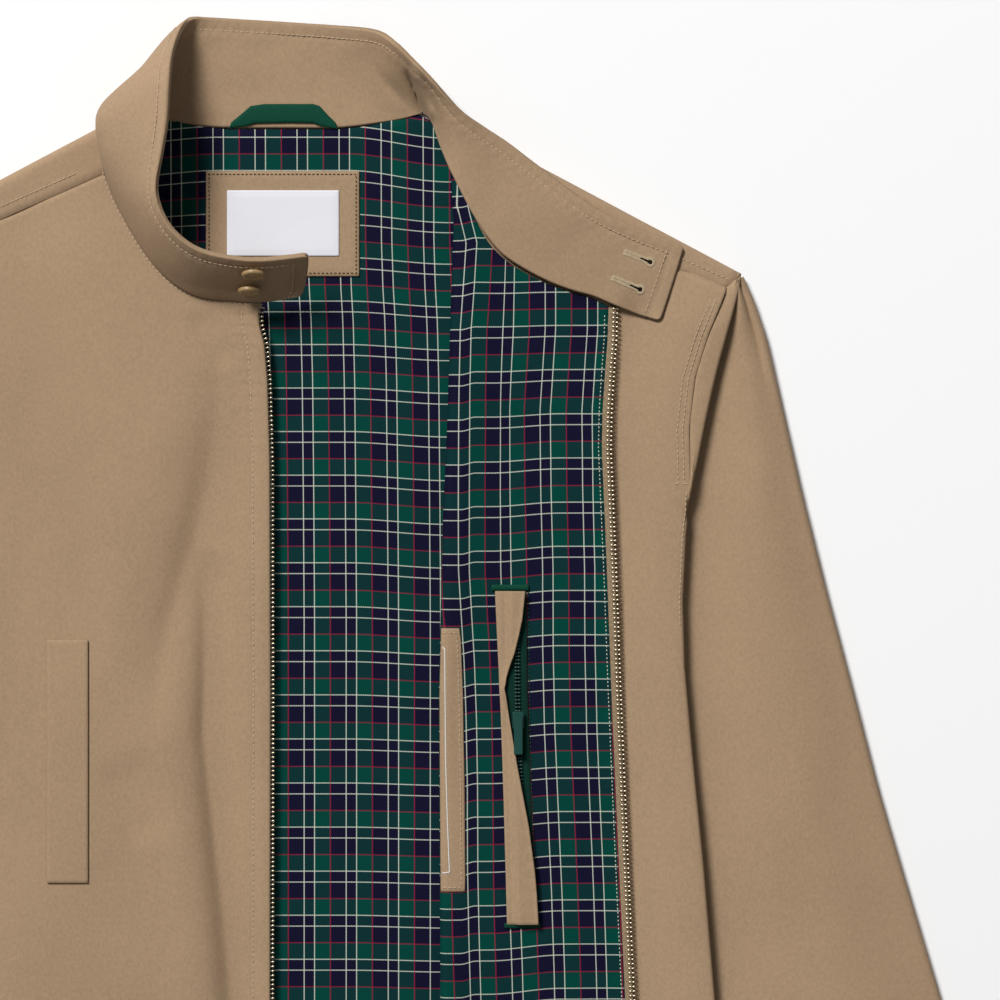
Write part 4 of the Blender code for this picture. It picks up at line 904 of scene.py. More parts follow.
def mottle_group():
    """Cloth's faint unevenness: broad tone, a woven grain and a fine diagonal rib."""
    w, given, found = new_group(
        "Cotton grain", [("Color", COLOUR, None), ("Tone", FLOAT, 0.06), ("Grain", FLOAT, 0.1), ("Size", FLOAT, 1.0)],
        [("Color", COLOUR), ("Height", FLOAT)])
    spot = w.add("ShaderNodeTexCoord").outputs["Object"]
    broad = w.add("ShaderNodeTexNoise", {"Vector": spot, "Scale": 14.0, "Detail": 3.0}).outputs["Fac"]
    stretch = w.add("ShaderNodeVectorMath", {0: spot, 1: GRAIN_SCALE}, operation="MULTIPLY").outputs[0]
    sized = w.add("ShaderNodeVectorMath", {0: stretch, "Scale": given["Size"]}, operation="SCALE").outputs[0]
    fine = w.add("ShaderNodeTexNoise", {"Vector": sized, "Scale": 1.0, "Detail": 4.0, "Roughness": 0.75}).outputs["Fac"]
    parts = w.add("ShaderNodeSeparateXYZ", {0: spot}).outputs
    line = w.math("MULTIPLY", w.math("ADD", parts[0], w.math("MULTIPLY", parts[1], 1.1)),
                  w.math("MULTIPLY", 2 * pi * RIBS_PER_METRE, given["Size"]))
    rib = w.math("MULTIPLY_ADD", w.math("SINE", line), 0.5, 0.5)
    height = w.math("ADD", w.math("MULTIPLY", fine, 0.7), w.math("MULTIPLY", rib, 0.3))
    tone, grain = (w.math("MULTIPLY", w.math("SUBTRACT", value, 0.5), given[label])
                   for value, label in ((broad, "Tone"), (height, "Grain")))
    bright = w.math("ADD", 1.0, w.math("MULTIPLY", w.math("ADD", tone, grain), 2.0))
    hue = w.add("ShaderNodeHueSaturation", {"Color": given["Color"], "Value": bright}).outputs["Color"]
    w.join(hue, found["Color"])
    w.join(height, found["Height"])


def new_material(name, inputs, colour=None):
    """Makes a material with its shader's inputs set; gives its wires and the shader's inputs."""
    made = bpy.data.materials.new(name)
    made.use_nodes = True
    shader = made.node_tree.nodes["Principled BSDF"].inputs
    for label, value in inputs.items():
        shader[label].default_value = value
    if colour is not None:
        made.diffuse_color = (*colour, 1)
    return Wires(made.node_tree), shader


def weave_into(w, shader, inputs, strength, distance, over=None):
    """Joins the cotton grain's colour and height to a shader, on top of another height if one is given."""
    grain = w.add("ShaderNodeGroup", node_tree=bpy.data.node_groups["Cotton grain"])
    for label, value in inputs.items():
        w.join(value, grain.inputs[label])
    w.join(grain.outputs["Color"], shader["Base Color"])
    height = grain.outputs["Height"]
    if over is not None:
        height = w.math("ADD", w.math("MULTIPLY", over, 0.5), height)
    raised = w.add("ShaderNodeBump", {"Height": height, "Strength": strength, "Distance": distance})
    w.join(raised.outputs[0], shader["Normal"])


def cloth_material(name, colour, roughness=0.9, tone=0.09, grain=0.42, size=1.0, bump=0.35, sheen=0.04):
    """A matte woven cloth in one colour."""
    w, shader = new_material(name, {"Roughness": roughness, "Sheen Weight": sheen, "Sheen Roughness": 0.5,
                                    "Specular IOR Level": 0.12}, colour)
    weave_into(w, shader, {"Color": (*colour, 1), "Tone": tone, "Grain": grain, "Size": size}, bump, 0.00025)


def tartan_material(name):
    """The lining's check, placed by each piece's own pattern coordinates."""
    w, shader = new_material(name, {"Roughness": 0.8, "Specular IOR Level": 0.06})
    uv = w.add("ShaderNodeUVMap", uv_map="pattern").outputs["UV"]
    weave = w.add("ShaderNodeGroup", {"Vector": uv}, node_tree=bpy.data.node_groups["Tartan weave"]).outputs
    weave_into(w, shader, {"Color": weave["Color"], "Tone": 0.08, "Grain": 0.14, "Size": 0.9}, 0.3, 0.0002,
               weave["Height"])


def hard_material(name, colour, roughness, metallic=0.0, spots=0.0):
    """Metal, enamel, horn or paint with slight unevenness."""
    w, shader = new_material(name, {"Roughness": roughness, "Metallic": metallic}, colour)
    spot = w.add("ShaderNodeTexCoord").outputs["Object"]
    cloudy = w.add("ShaderNodeTexNoise", {"Vector": spot, "Scale": 260.0, "Detail": 3.0}).outputs["Fac"]
    bright = w.math("MULTIPLY_ADD", w.math("SUBTRACT", cloudy, 0.5), spots, 1.0)
    hue = w.add("ShaderNodeHueSaturation", {"Color": (*colour, 1), "Value": bright}).outputs["Color"]
    w.join(hue, shader["Base Color"])


def bar(name, rings, sides, first=0.0, smooth_faces=True):
    """A small closed bar along x for the repeats to copy: each ring's place, half width and half height."""
    points = []
    for x, wide, tall in rings:
        for k in range(sides):
            angle = 2 * pi * (k + first) / sides
            points.append((x * MM, wide * cos(angle) * MM, tall * sin(angle) * MM))
    faces = [(r + k, r + (k + 1) % sides, r + sides + (k + 1) % sides, r + sides + k)
             for r in range(0, len(points) - sides, sides) for k in range(sides)]
    faces += [tuple(range(sides))[::-1], tuple(range(len(points) - sides, len(points)))]
    mesh = bpy.data.meshes.new(name)
    mesh.from_pydata(points, [], faces)
    if smooth_faces:
        mesh.shade_smooth()
    return bpy.data.objects.new(name, mesh)


def capsule(name, length, radius):
    """A stitch or line of thread, rounded at its ends."""
    return bar(name, [(x * length, radius * r, radius * r)
                      for x, r in ((-0.5, 0.45), (-0.36, 1.0), (0.36, 1.0), (0.5, 0.45))], 6)


def repeat_tree():
    """Copies one small object along a line at an even spacing, turned to follow the line."""
    tree = bpy.data.node_groups.new("Repeat along a line", "GeometryNodeTree")
    for name, kind, default in (
            ("Line", "NodeSocketGeometry", None), ("Piece", "NodeSocketObject", None), ("Spacing", FLOAT, 0.003),
            ("Turn", FLOAT, 0.0), ("Seed", "NodeSocketInt", 4), ("Unevenness", FLOAT, 0.05),
            ("Material", "NodeSocketMaterial", None)):
        socket(tree, name, kind, default)
    socket(tree, "Geometry", "NodeSocketGeometry", out=True)
    w = Wires(tree)
    given, end = w.add("NodeGroupInput").outputs, w.add("NodeGroupOutput")
    curve = w.add("GeometryNodeMeshToCurve", {"Mesh": given["Line"]})
    points = w.add("GeometryNodeResampleCurve", {"Curve": curve.outputs[0], "Length": given["Spacing"]}, mode="LENGTH")
    tangent = w.add("GeometryNodeInputTangent")
    turned = w.add("FunctionNodeAlignRotationToVector", {"Vector": tangent.outputs[0]}, axis="X", pivot_axis="AUTO")
    about = w.add("FunctionNodeAxisAngleToRotation", {"Axis": (0, 0, 1), "Angle": given["Turn"]})
    spin = w.add("FunctionNodeRotateRotation", {"Rotation": turned.outputs[0], "Rotate By": about.outputs[0]},
                 rotation_space="GLOBAL")
    chance = w.add("FunctionNodeRandomValue", {"Min": (0.0, 0.0, 0.0), "Max": (1.0, 1.0, 1.0), "Seed": given["Seed"]},
                   data_type="FLOAT_VECTOR")
    spread = w.add("ShaderNodeVectorMath", {0: chance.outputs[0], "Scale": given["Unevenness"]}, operation="SCALE")
    size = w.add("ShaderNodeVectorMath", {0: spread.outputs[0], 1: (1.0, 1.0, 1.0)}, operation="ADD")
    piece = w.add("GeometryNodeObjectInfo", {"Object": given["Piece"]}, transform_space="ORIGINAL")
    copies = w.add("GeometryNodeInstanceOnPoints", {"Points": points.outputs[0], "Instance": piece.outputs["Geometry"],
                                                    "Rotation": spin.outputs[0], "Scale": size.outputs[0]})
    real = w.add("GeometryNodeRealizeInstances", {0: copies.outputs[0]})
    painted = w.add("GeometryNodeSetMaterial", {"Geometry": real.outputs[0], "Material": given["Material"]})
    w.join(painted.outputs[0], end.inputs["Geometry"])
    return tree


def repeats(name, runs, piece, spacing, fabric_name, nodes=(), turn=0.0, seed=4, unevenness=0.05):
    """Copies of a small piece along one or more lines, as one plain mesh that rides on the jacket."""
    points, edges = [], []
    for run in runs:
        start = len(points)
        points += [tuple(p) for p in place(run)]
        edges += [(start + k, start + k + 1) for k in range(len(run) - 1)]
    mesh = bpy.data.meshes.new(name)
    mesh.from_pydata(points, edges, [])
    source = add_object(name + "_line", mesh)
    tree = bpy.data.node_groups.get("Repeat along a line") or repeat_tree()
    modifier = source.modifiers.new("Repeat", "NODES")
    modifier.node_group = tree
    values = {"Piece": piece, "Spacing": spacing * MM, "Turn": turn, "Seed": seed, "Unevenness": unevenness,
              "Material": fabric(fabric_name)}
    for item in tree.interface.items_tree:
        if item.item_type == "SOCKET" and item.in_out == "INPUT" and item.name in values:
            modifier[item.identifier] = values[item.name]
    graph = bpy.context.evaluated_depsgraph_get()
    graph.update()
    final = bpy.data.meshes.new_from_object(source.evaluated_get(graph), depsgraph=graph)
    final.name = name
    source.modifiers.clear()
    bpy.data.objects.remove(source)
    if not final.polygons:
        raise RuntimeError(name + " made nothing")
    final.shade_smooth()
    return wear(add_object(name, final), nodes)


def size_property(name, description, value):
    """A length setting with its default."""
    return bpy.props.FloatProperty(name=name, description=description, default=value, unit="LENGTH")


class JacketSizes(bpy.types.PropertyGroup):
    """Sizes of the sewn details."""

    stitch_spacing: size_property("Stitch spacing", "Distance from one stitch to the next", 0.0027)
    stitch_length: size_property("Stitch length", "Length of thread that shows", 0.0021)
    thread_radius: size_property("Thread radius", "Half the sewing thread's thickness", 0.0003)
    collar_stitch_inset: size_property("Collar stitch inset", "Distance of the collar's stitching from its edge",
                                       0.0066)
    camera_distance: size_property("Camera distance", "Height of the camera above the cloth", 2.2)
    view_width: size_property("View width", "Width of cloth in the view", 0.53)


def colour_property(name, value):
    """A colour setting with its default."""
    return bpy.props.FloatVectorProperty(
        name=name, description="Linear colour of the " + name.lower(), default=value, size=3, min=0, max=1,
        subtype="COLOR")


class JacketColours(bpy.types.PropertyGroup):
    """Colours of the cloths and threads."""

    khaki: colour_property("Twill shell", (0.356, 0.2425, 0.1485))
    rib: colour_property("Rib knit", (0.29, 0.20, 0.12))
    khaki_thread: colour_property("Shell thread", (0.48, 0.36, 0.24))
    dark_thread: colour_property("Patch thread", (0.10, 0.06, 0.03))
    navy: colour_property("Navy ground", (0.0056, 0.005, 0.022))
    green: colour_property("Green ground", (0.0, 0.050, 0.037))
    cream: colour_property("Cream line", (0.74, 0.80, 0.66))
    red: colour_property("Red line", (0.30, 0.010, 0.042))
    trim: colour_property("Green trim", (0.0006, 0.050, 0.027))
    label: colour_property("Label", (0.74, 0.74, 0.78))
    tape: colour_property("Zip tape", (0.27, 0.195, 0.12))


def fabric(name):
    """A material made by the fabrics step."""
    found = bpy.data.materials.get(name)
    if found is None:
        raise RuntimeError("make the fabrics first: " + name)
    return found


def wear(made, nodes=()):
    """Joins a piece to the jacket's body, and lets it stand for its solids."""
    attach(made, "jacket")
    if nodes:
        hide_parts(*nodes)
    return made


def back_check(x, y):
    """Where the back's lining lies in repeats of its sett."""
    side = np.abs(x)
    sag = x_at(BACK_SAG, y) * rise((side - 34) / 54) * np.where(x > 0, 1.0, 0.6)
    return np.stack([(x - x_at(BACK_LEAN, y)) / SETT_X, (y - x_at(BACK_DROP, y) + sag) / SETT_Y], axis=-1)


def flap_check(x, y):
    """Where the opened front's lining lies in repeats of its sett."""
    lean = x_at(FOLD_LEAN, y) + (x_at(LEAN, y) - x_at(FOLD_LEAN, y)) * rise((x - 108) / 22)
    sag = x_at(FOLD_SAG, y) * rise((147 - x) / 37) + 1.6 * rise((102 - x) / 8)
    return np.stack([(x - lean - 128.8) / SETT_X, (y + 119.3 + sag) / SETT_Y], axis=-1)


def sew(name, grid, near, far, fabric_name, slot_name, nodes, flat=None, area=None, held="laid", rests_on=(),
        **shape):
    """Makes one piece of cloth in place of its solids; the flat width, length and area it is given are not used."""
    made = wear(cloth(name, grid, near, far, fabric(fabric_name), **shape), nodes)
    return made


class JACKET_OT_fabrics(bpy.types.Operator):
    """Makes the materials"""

    bl_idname = "jacket.fabrics"
    bl_label = "Fabrics"

    def execute(self, context):
        colours = context.scene.jacket_colours
        mottle_group()
        tartan_group(colours)
        tartan_material("lining_tartan")
        for look in (("shell_twill", colours.khaki), ("rib_knit", colours.rib, 0.9, 0.05, 0.14, 1.0, 0.35),
                     ("trim_tape", colours.trim, 0.7, 0.05, 0.5, 1.3, 0.4),
                     # The pocket's zip tape: the green trim tape darkened, as painted shade of the inner pocket's slit
                     ("pocket_tape_shaded", (0.0015, 0.026, 0.018), 0.8, 0.05, 0.3, 1.3, 0.3),
                     ("label_weave", colours.label, 0.5, 0.01, 0.03, 1.5, 0.12),
                     ("zip_tape_weave", colours.tape, 0.85, 0.1, 1.3, 1.4, 0.6),
                     ("shell_thread", colours.khaki_thread, 0.7, 0.05, 0.1),
                     ("patch_thread", colours.dark_thread, 0.8, 0.05, 0.1),
                     ("cream_thread", (0.62, 0.60, 0.48), 0.7, 0.05, 0.1),
                     ("green_thread", (0.006, 0.05, 0.03), 0.7, 0.05, 0.1),
                     ("white_thread", (0.72, 0.72, 0.70), 0.7, 0.02, 0.05),
                     ("silk_thread", (0.50, 0.395, 0.26), 0.6, 0.05, 0.1),
                     # hole_shade: near-black cloth used as painted shade inside the buttonhole slits
                     ("hole_shade", (0.004, 0.003, 0.003), 1.0, 0.0, 0.0, 1.0, 0.0, 0.0)):
            cloth_material(*look)
        for look in (("zip_brass", (0.50, 0.42, 0.30), 0.38, 1.0, 0.35),
                     ("green_enamel_coat", (0.006, 0.052, 0.042), 0.35, 0.0, 0.2),
                     ("dark_coil", (0.004, 0.034, 0.026), 0.4, 0.0, 0.2),
                     ("horn", (0.34, 0.225, 0.105), 0.28, 0.0, 0.5)):
            hard_material(*look)
        return {"FINISHED"}


class JACKET_OT_back(bpy.types.Operator):
    """Makes the back, its lining and the two shoulders"""

    bl_idname = "jacket.back"
    bl_label = "Back"

    def execute(self, context):
        grid = back_grid(rows_between(0, SEAM_SHARE, 90, 1.3), 66)
        lift = crumple(grid[..., 0], grid[..., 1], 41, 0.5) * rise((grid[..., 2] - 6) / 3)
        grid[..., 2] += np.maximum(lift, -0.4)
        sew("back_cloth", grid, 0, -CLOTH_THICKNESS, "shell_twill", "khaki_twill", ["back_panel"], (490, 640),
            478 * 590)
        x = np.linspace(-LINING_HALF, LINING_HALF, 101)
        neck = np.interp(np.abs(x), *zip(*NECK_BACK[:5])) - 2 * GAP + 3.6 * rise((np.abs(x) - 44) / 26)
        roll = ROLL_START[1] + (ROLL_START[0] - np.abs(x)) * SHOULDER_OUT[0] / SHOULDER_OUT[1] - 1.5
        top = np.minimum(neck, roll)
        y = top + (HEM_SEAM_Y + 2 - top) * np.linspace(0, 1, 130)[:, None]
        grid = laid(np.stack([np.broadcast_to(x, y.shape), y], axis=-1), back_surface)
        sew("back_lining_cloth", grid, 0, LINING * 0.8, "lining_tartan", "tartan_cotton", ["back_lining"],
            (392, 610), 392 * 560, uv=back_check(grid[..., 0], grid[..., 1]))
        return {"FINISHED"}


class JACKET_OT_fronts(bpy.types.Operator):
    """Makes the closed front, and the opened front with its lining outside"""

    bl_idname = "jacket.fronts"
    bl_label = "Fronts"

    def execute(self, context):
        shares = rows_between(0, SEAM_SHARE, 190, 1.25)
        sew("front_right_cloth", closed_grid(shares, 170), -CLOTH_THICKNESS, 0, "shell_twill", "khaki_twill",
            ["front_right"], (250, 590), 238 * 520)
        sew("front_left_cloth", open_grid(shares, ZIP_INSET, 44, 60), -SHELL, -SHELL + CLOTH_THICKNESS,
            "shell_twill", "khaki_twill", ["front_left"], (260, 590), 245 * 530, "folded")
        over = 72
        grid = open_grid(shares, LINING_INSET, over, 60)[:, :over + FOLD_COLUMNS + 8]
        run = run_along(grid, 1)
        across = np.where(np.arange(grid.shape[1]) < over, grid[..., 0],
                          grid[:, over - 1:over, 0] - run + run[:, over - 1:over])
        sew("front_lining_cloth", grid, GAP, GAP + LINING, "lining_tartan", "tartan_cotton", ["front_left_lining"],
            (130, 580), 125 * 500, "folded", uv=flap_check(across, grid[..., 1]))
        return {"FINISHED"}


class JACKET_OT_sleeves(bpy.types.Operator):
    """Makes both sleeves with their crowns"""

    bl_idname = "jacket.sleeves"
    bl_label = "Sleeves"

    def execute(self, context):
        rings, free = tube(SLEEVE, 130)
        for side, sign in SIDES:
            grid = rings * (sign, 1, 1)
            x, y = grid[..., 0], grid[..., 1]
            folds = 0.9 * np.sin((y + 0.45 * np.abs(x)) / 23.0 + noise(x, y, 60.0, 9) * 2.2) * rise((-230 - y) / 90)
            grid[..., 2] += free * (crumple(x, y, 51 + sign, 1.1) + folds * 0.55 - 0.25)
            sew("sleeve_cloth_" + side, grid, 0, sign * CLOTH_THICKNESS, "shell_twill", "khaki_twill",
                ["sleeve_" + side], (225, 590), 212 * 562, ring=True)
            sew("crown_cloth_" + side, crown_grid(40) * (sign, 1, 1), 0, sign * CLOTH_THICKNESS, "shell_twill",
                "khaki_twill", ["crown_" + side], (24, 108), 21 * 108)
        return {"FINISHED"}


class JACKET_OT_ribs(bpy.types.Operator):
    """Makes the ribbed hem bands and cuffs"""

    bl_idname = "jacket.ribs"
    bl_label = "Ribs"

    def execute(self, context):
        shares = rows_between(SEAM_SHARE + 0.0005, 1.0, 14)
        for name, grid, into, depth, near, far, width in (
                ("hem_right", closed_grid(shares, 330), 0, 1.0, -1.0, 0, 246),
                ("hem_back", back_grid(shares, 340), 0, 0.5, 0, -0.9, 480),
                ("hem_left", open_grid(shares, ZIP_INSET, 150, 230), -SHELL, -1.0, 0, 1.0, 275)):
            grid = grid + normals_of(grid) * (into + rib_ridges(grid) * depth)
            sew(name + "_rib", grid, near, far, "rib_knit", "khaki_rib", [name], (width, 60))
        rings = tube(CUFF, 16, (18, 190, 22, 150))[0]
        for side, sign in SIDES:
            grid = rings * (sign, 1, 1)
            grid = grid - sign * normals_of(grid, True) * rib_ridges(grid)
            sew("cuff_rib_" + side, grid, 0, sign * 0.9, "rib_knit", "khaki_rib", ["cuff_" + side], (200, 60),
                ring=True)
        return {"FINISHED"}


def collar_parts(inset):
    """The collar's grid, its normals, each point's distance from the free edge and from the ends, and half its
    thickness: grooved along its stitching, plumper outside it."""
    grid = collar_grid(420, 40)
    tall, along = run_along(grid, 1), run_along(grid, 0)
    edge, ends = tall[:, -1:] - tall, np.minimum(along, along[-1:] - along)
    away = np.minimum(edge, ends)
    half = 1.15 - 0.42 * np.exp(-(((away - inset) / 0.95) ** 2)) - 0.12 * np.exp(-((away / 0.8) ** 2))
    return grid, normals_of(grid), edge, ends, half


def button(name, centre, facing):
    """A dished horn button, turned to face a direction."""
    sides = 40
    points = []
    for share, high in BUTTON_PROFILE:
        for k in range(sides if share else 1):
            angle = 2 * pi * k / sides
            points.append((share * BUTTON_RADIUS * cos(angle), share * BUTTON_RADIUS * sin(angle),
                           high * BUTTON_HEIGHT))
    last = len(points) - 1
    faces = [(start + k, start + sides + k, start + sides + (k + 1) % sides, start + (k + 1) % sides)
             for start in range(1, last - sides, sides) for k in range(sides)]
    for k in range(sides):
        after = (k + 1) % sides
        faces += [(0, 1 + k, 1 + after), (last, last - sides + after, last - sides + k)]
    mesh = bpy.data.meshes.new(name)
    turn = facing.to_track_quat("Z", "Y").to_matrix()
    mesh.from_pydata([centre + turn @ Vector(p) * MM for p in points], [], faces)
    mesh.shade_smooth()
    mesh.materials.append(fabric("horn"))
    turn_out(mesh)
    return add_object(name, mesh)


def height_on(made):
    """A function that gives the height of a finished piece's upper face at places in plan."""
    tree = BVHTree.FromPolygons([v.co for v in made.data.vertices], [list(p.vertices) for p in made.data.polygons])

    def height(x, y):
        found = []
        for across, down in zip(np.ravel(x), np.ravel(y)):
            hit = tree.ray_cast(Vector(place((across, down, 200.0))), Vector((0, 0, -1)))[0]
            if hit is None:
                raise RuntimeError(f"nothing of {made.name} at {across:.1f}, {down:.1f}")
            found.append(hit.z / MM)
        return np.array(found).reshape(np.shape(x))

    return height


def keyhole(start, eye, face, slit, ring):
    """Points round a keyhole buttonhole, from one side of its bar to the other."""
    start, eye = np.array(start), np.array(eye)
    length = np.linalg.norm(eye - start)
    run = (eye - start) / length
    side = np.array((-run[1], run[0]))
    straight = np.linspace(0, length - ring * 0.9, 40)
    plan = [start + side * s for s in np.linspace(-slit * 1.6, slit, 6)]
    plan += [start + run * s + side * slit for s in straight]
    plan += [eye + run * ring * cos(a) + side * ring * sin(a) for a in np.linspace(pi - 0.55, -pi + 0.55, 40)]
    plan += [start + run * s - side * slit for s in straight[::-1]]
    return laid(np.array(plan), lambda x, y: face(x, y) + 0.08)


class JACKET_OT_collar(bpy.types.Operator):
    """Makes the stand collar, its keyhole buttonholes and its buttons"""

    bl_idname = "jacket.collar"
    bl_label = "Collar"

    def execute(self, context):
        grid, normal, edge, _, half = collar_parts(context.scene.jacket_sizes.collar_stitch_inset / MM)
        along = run_along(grid, 0)
        wave = noise(along, edge, 34.0, 61) * 0.8 + noise(along, edge, 13.0, 62) * 0.25
        wave = wave * rise(edge / 12) * rise((edge[:, :1] - edge) / 10) + pucker(along, edge - 6.6, 5.0, 0.1, 6.0)
        made = sew("collar_cloth", grid + normal * wave[..., None], -half[..., None], half[..., None], "shell_twill",
                   "khaki_twill", ["collar_outer", "collar_facing"], (460, 56), 460 * 50, "folded",
                   uv=np.stack([along, edge], axis=-1) / 10, puff=-0.5)
        face = height_on(made)
        repeats("buttonhole_threads", [keyhole(*hole, face, 0.85, 2.0) for hole in BUTTONHOLES],
                capsule("silk_bar", 1.7, 0.25), 0.56, "silk_thread", turn=pi / 2, unevenness=0.2)
        # Dark capsules laid along each buttonhole's slit: painted shade in the opening
        repeats("buttonhole_cuts", [keyhole(*hole, face, 0.08, 0.7)[32:-32] for hole in BUTTONHOLES],
                capsule("cut_shade", 0.9, 0.42), 0.3, "hole_shade", turn=pi / 2)
        for number in (1, 2):
            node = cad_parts[f"button_{number}"]
            spots = np.array([vertex.co[:] for vertex in node.data.vertices])
            centre = spots.mean(axis=0)
            facing = np.linalg.svd(spots - centre, full_matrices=False)[2][2]
            facing = Vector(facing * (1 if facing[2] > 0 else -1)) + Vector(BUTTON_LEAN)
            facing.normalize()
            wear(button(f"horn_button_{number}", Vector(centre), facing), [node.name])
        return {"FINISHED"}


def strip_grid(table, start, stop, near, far, height, count=150, columns=5):
    """A narrow band along a line, at a height of its own."""
    y = np.linspace(start, stop, count)[:, None]
    x = x_at(table, y) + np.linspace(near, far, columns)[None]
    return laid(np.stack([x, np.broadcast_to(y, x.shape)], axis=-1), height)


def paint_nodes(names, fabric_name):
    """Gives solids that are shown as they are one of the materials."""
    for name in names:
        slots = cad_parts[name].data.materials
        slots.clear()
        slots.append(fabric(fabric_name))


def under_closed(x, y):
    """The wrong side of the closed front at its zip, where its tape is sewn on."""
    return front_top(np.minimum(x, -5.0), y) - SHELL - GAP


class JACKET_OT_zips(bpy.types.Operator):
    """Makes the front zip's tapes and its metal teeth"""

    bl_idname = "jacket.zips"
    bl_label = "Zips"

    def execute(self, context):
        for side, band in (
                ("left", strip_grid(OPEN_ZIP, -95.6, -608, -6.2, -2.4, lambda x, y: flap_shell(x, y) + GAP)),
                ("right", strip_grid(CLOSED_EDGE, -95, -646, -7, 0.4, lambda x, y: under_closed(x, y) - 1.2))):
            sew(f"zip_tape_{side}_cloth", band, 0, -1.0, "zip_tape_weave", "zip_tape", ["zip_tape_" + side])
        tooth = tooth_piece("zip_tooth", 3.5, 1.7, 1.8)
        for side, table, start, stop, offset, height in (
                ("left", OPEN_ZIP, -96, -663, -2.5, lambda x, y: flap_shell(x, y) + 1.2),
                ("right", CLOSED_EDGE, -95.5, -645, 0.9, lambda x, y: under_closed(0 * x - 5.0, y) - 0.9)):
            repeats("zip_teeth_" + side, [on_line(table, start, stop, offset, height, 260)], tooth, TOOTH_PITCH,
                    "zip_brass", ["zip_chain_" + side], pi / 2, 7, 0.04)
        paint_nodes(("zip_slider", "zip_pull"), "zip_brass")
        return {"FINISHED"}


def tooth_piece(name, long, wide, tall):
    """One zip tooth: the clamp round the tape's cord, a neck and the head."""
    return bar(name, [(x * long, wide * across / 2, tall * high / 2) for x, across, high in TOOTH_PROFILE], 8, 0.5,
               False)


def neck_face(x, y):
    """The face of the back's lining where the patch is sewn on it."""
    return np.maximum(back_surface(x, y), LINING_TOP)


class JACKET_OT_neck(bpy.types.Operator):
    """Makes the bare label on its patch and the hanging loop"""

    bl_idname = "jacket.neck"
    bl_label = "Neck trims"

    def execute(self, context):
        for name, box, base, thick, sewn, cloth_name, slot_name in (
                ("label_patch", LABEL_PATCH, GAP, PATCH_THICK, 1.0, "shell_twill", "khaki_twill"),
                ("neck_label", LABEL, 2 * GAP + PATCH_THICK, 0.6, 0.25, "label_weave", "label_satin")):
            left, right, top, bottom = box
            x, y = np.meshgrid(np.linspace(left, right, 60), np.linspace(top, bottom, 45))
            edge = np.minimum(np.minimum(x - left, right - x), np.minimum(top - y, y - bottom))
            z = neck_face(x, y) + base + 0.25 * rise(edge / 3)
            z = z - sewn * (0.25 * np.exp(-(((edge - 1.9) / 0.6) ** 2)) - pucker(x + y, edge - 2, 3.0, 0.07))
            sew(name + "_cloth", np.stack([x, y, z], axis=-1), 0, -thick, cloth_name, slot_name, [name],
                (right - left, top - bottom), rests_on=["back_lining_cloth"])
        at = np.linspace(0, len(LOOP) - 1, 61)
        low, high = (np.stack([np.interp(at, range(len(LOOP)), [row[k] for row in LOOP]) for k in ks], axis=-1)
                     for ks in ((0, 1), (2, 3)))
        share = np.linspace(0, 1, 9)
        plan = high[:, None] + (low - high)[:, None] * share[:, None]
        height = SHELL + 0.15 + LINING + GAP + 0.35 * np.sin(share * pi) ** 0.6
        sew("hanger_loop_tape", laid(plan, lambda x, y: height + 0 * x), 0, 0.9, "trim_tape", "green_tape",
            ["hanger_loop"], (58, 11), 58 * 9)
        return {"FINISHED"}


def box_grid(left, right, top, low, height, columns, rows):
    """A rectangle of cloth laid on a surface."""
    return laid(np.stack(np.meshgrid(np.linspace(left, right, columns), np.linspace(top, low, rows)), axis=-1), height)


def tape_height(x, y):
    """Where the inner pocket's tape and piping lie on the opened front's lining."""
    return flap_surface(x, y) + GAP


def guard_grid(rows, over):
    """The face of one half of the inner pocket's guard strip, lifted clear of the zip and pinched at its slider."""
    y = np.linspace(rows[0].y, rows[-1].y, 80)[:, None]
    left, right = x_at(rows, y, "left"), x_at(rows, y, "right")
    x = left + (right - left) * np.linspace(0, 1, 22)[None]
    y = np.broadcast_to(y, x.shape)
    away = x - x_at(POCKET_ZIP, y)
    lifted = 1.1 * rise((away + 12) / 4) + 2.4 * rise((away + 6.2) / 4)
    pinch = 1.6 * np.exp(-(((y + 297) / 9.0) ** 2)) * rise((away + 9.5) / 3)
    z = flap_surface(x, y) + 0.35 + lifted + pinch + over * np.exp(-(((y + 297) / 4.0) ** 2))
    z = z + 0.45 * np.exp(-(((right - x) / 0.9) ** 2)) + (right - x) * 0.10 * np.exp(-(((y + 303) / 12.0) ** 2))
    return np.stack([x, y, z], axis=-1)


def sew_backing():
    """Makes the strip of shell cloth round the fold, with its white edge and its stitches."""
    y = np.linspace(BACKING_EDGE[0].y, BACKING_EDGE[-1].y, 90)
    edge = x_at(BACKING_EDGE, y)
    radius, turn = fold_roll(y, np.linspace(pi / 2, pi * 0.78, 8)[1:])
    across = x_at(FOLD, y) + SHELL + radius + 2 - edge
    columns = [laid(np.stack([edge + across * share, y], axis=1), flap_shell) for share in np.linspace(0, 1, 10)]
    seat = GAP + LINING + 0.1
    made = sew("pocket_backing_cloth", np.stack(columns + turn, axis=1), seat, seat + 0.7, "shell_twill",
               "khaki_twill", ["pocket_backing"], (14.5, 139), held="folded")
    face = height_on(made)
    repeats("backing_white_edge", [on_path(BACKING_TAPE, lambda x, y: face(x, y) + 0.05)],
            capsule("white_line", 1.6, 0.3), 1.1, "white_thread", unevenness=0.0)
    repeats("backing_stitches", [on_path(BACKING_RIM, lambda x, y: face(x, y) + 0.1)],
            capsule("backing_stitch", 1.9, 0.26), 2.6, "shell_thread")


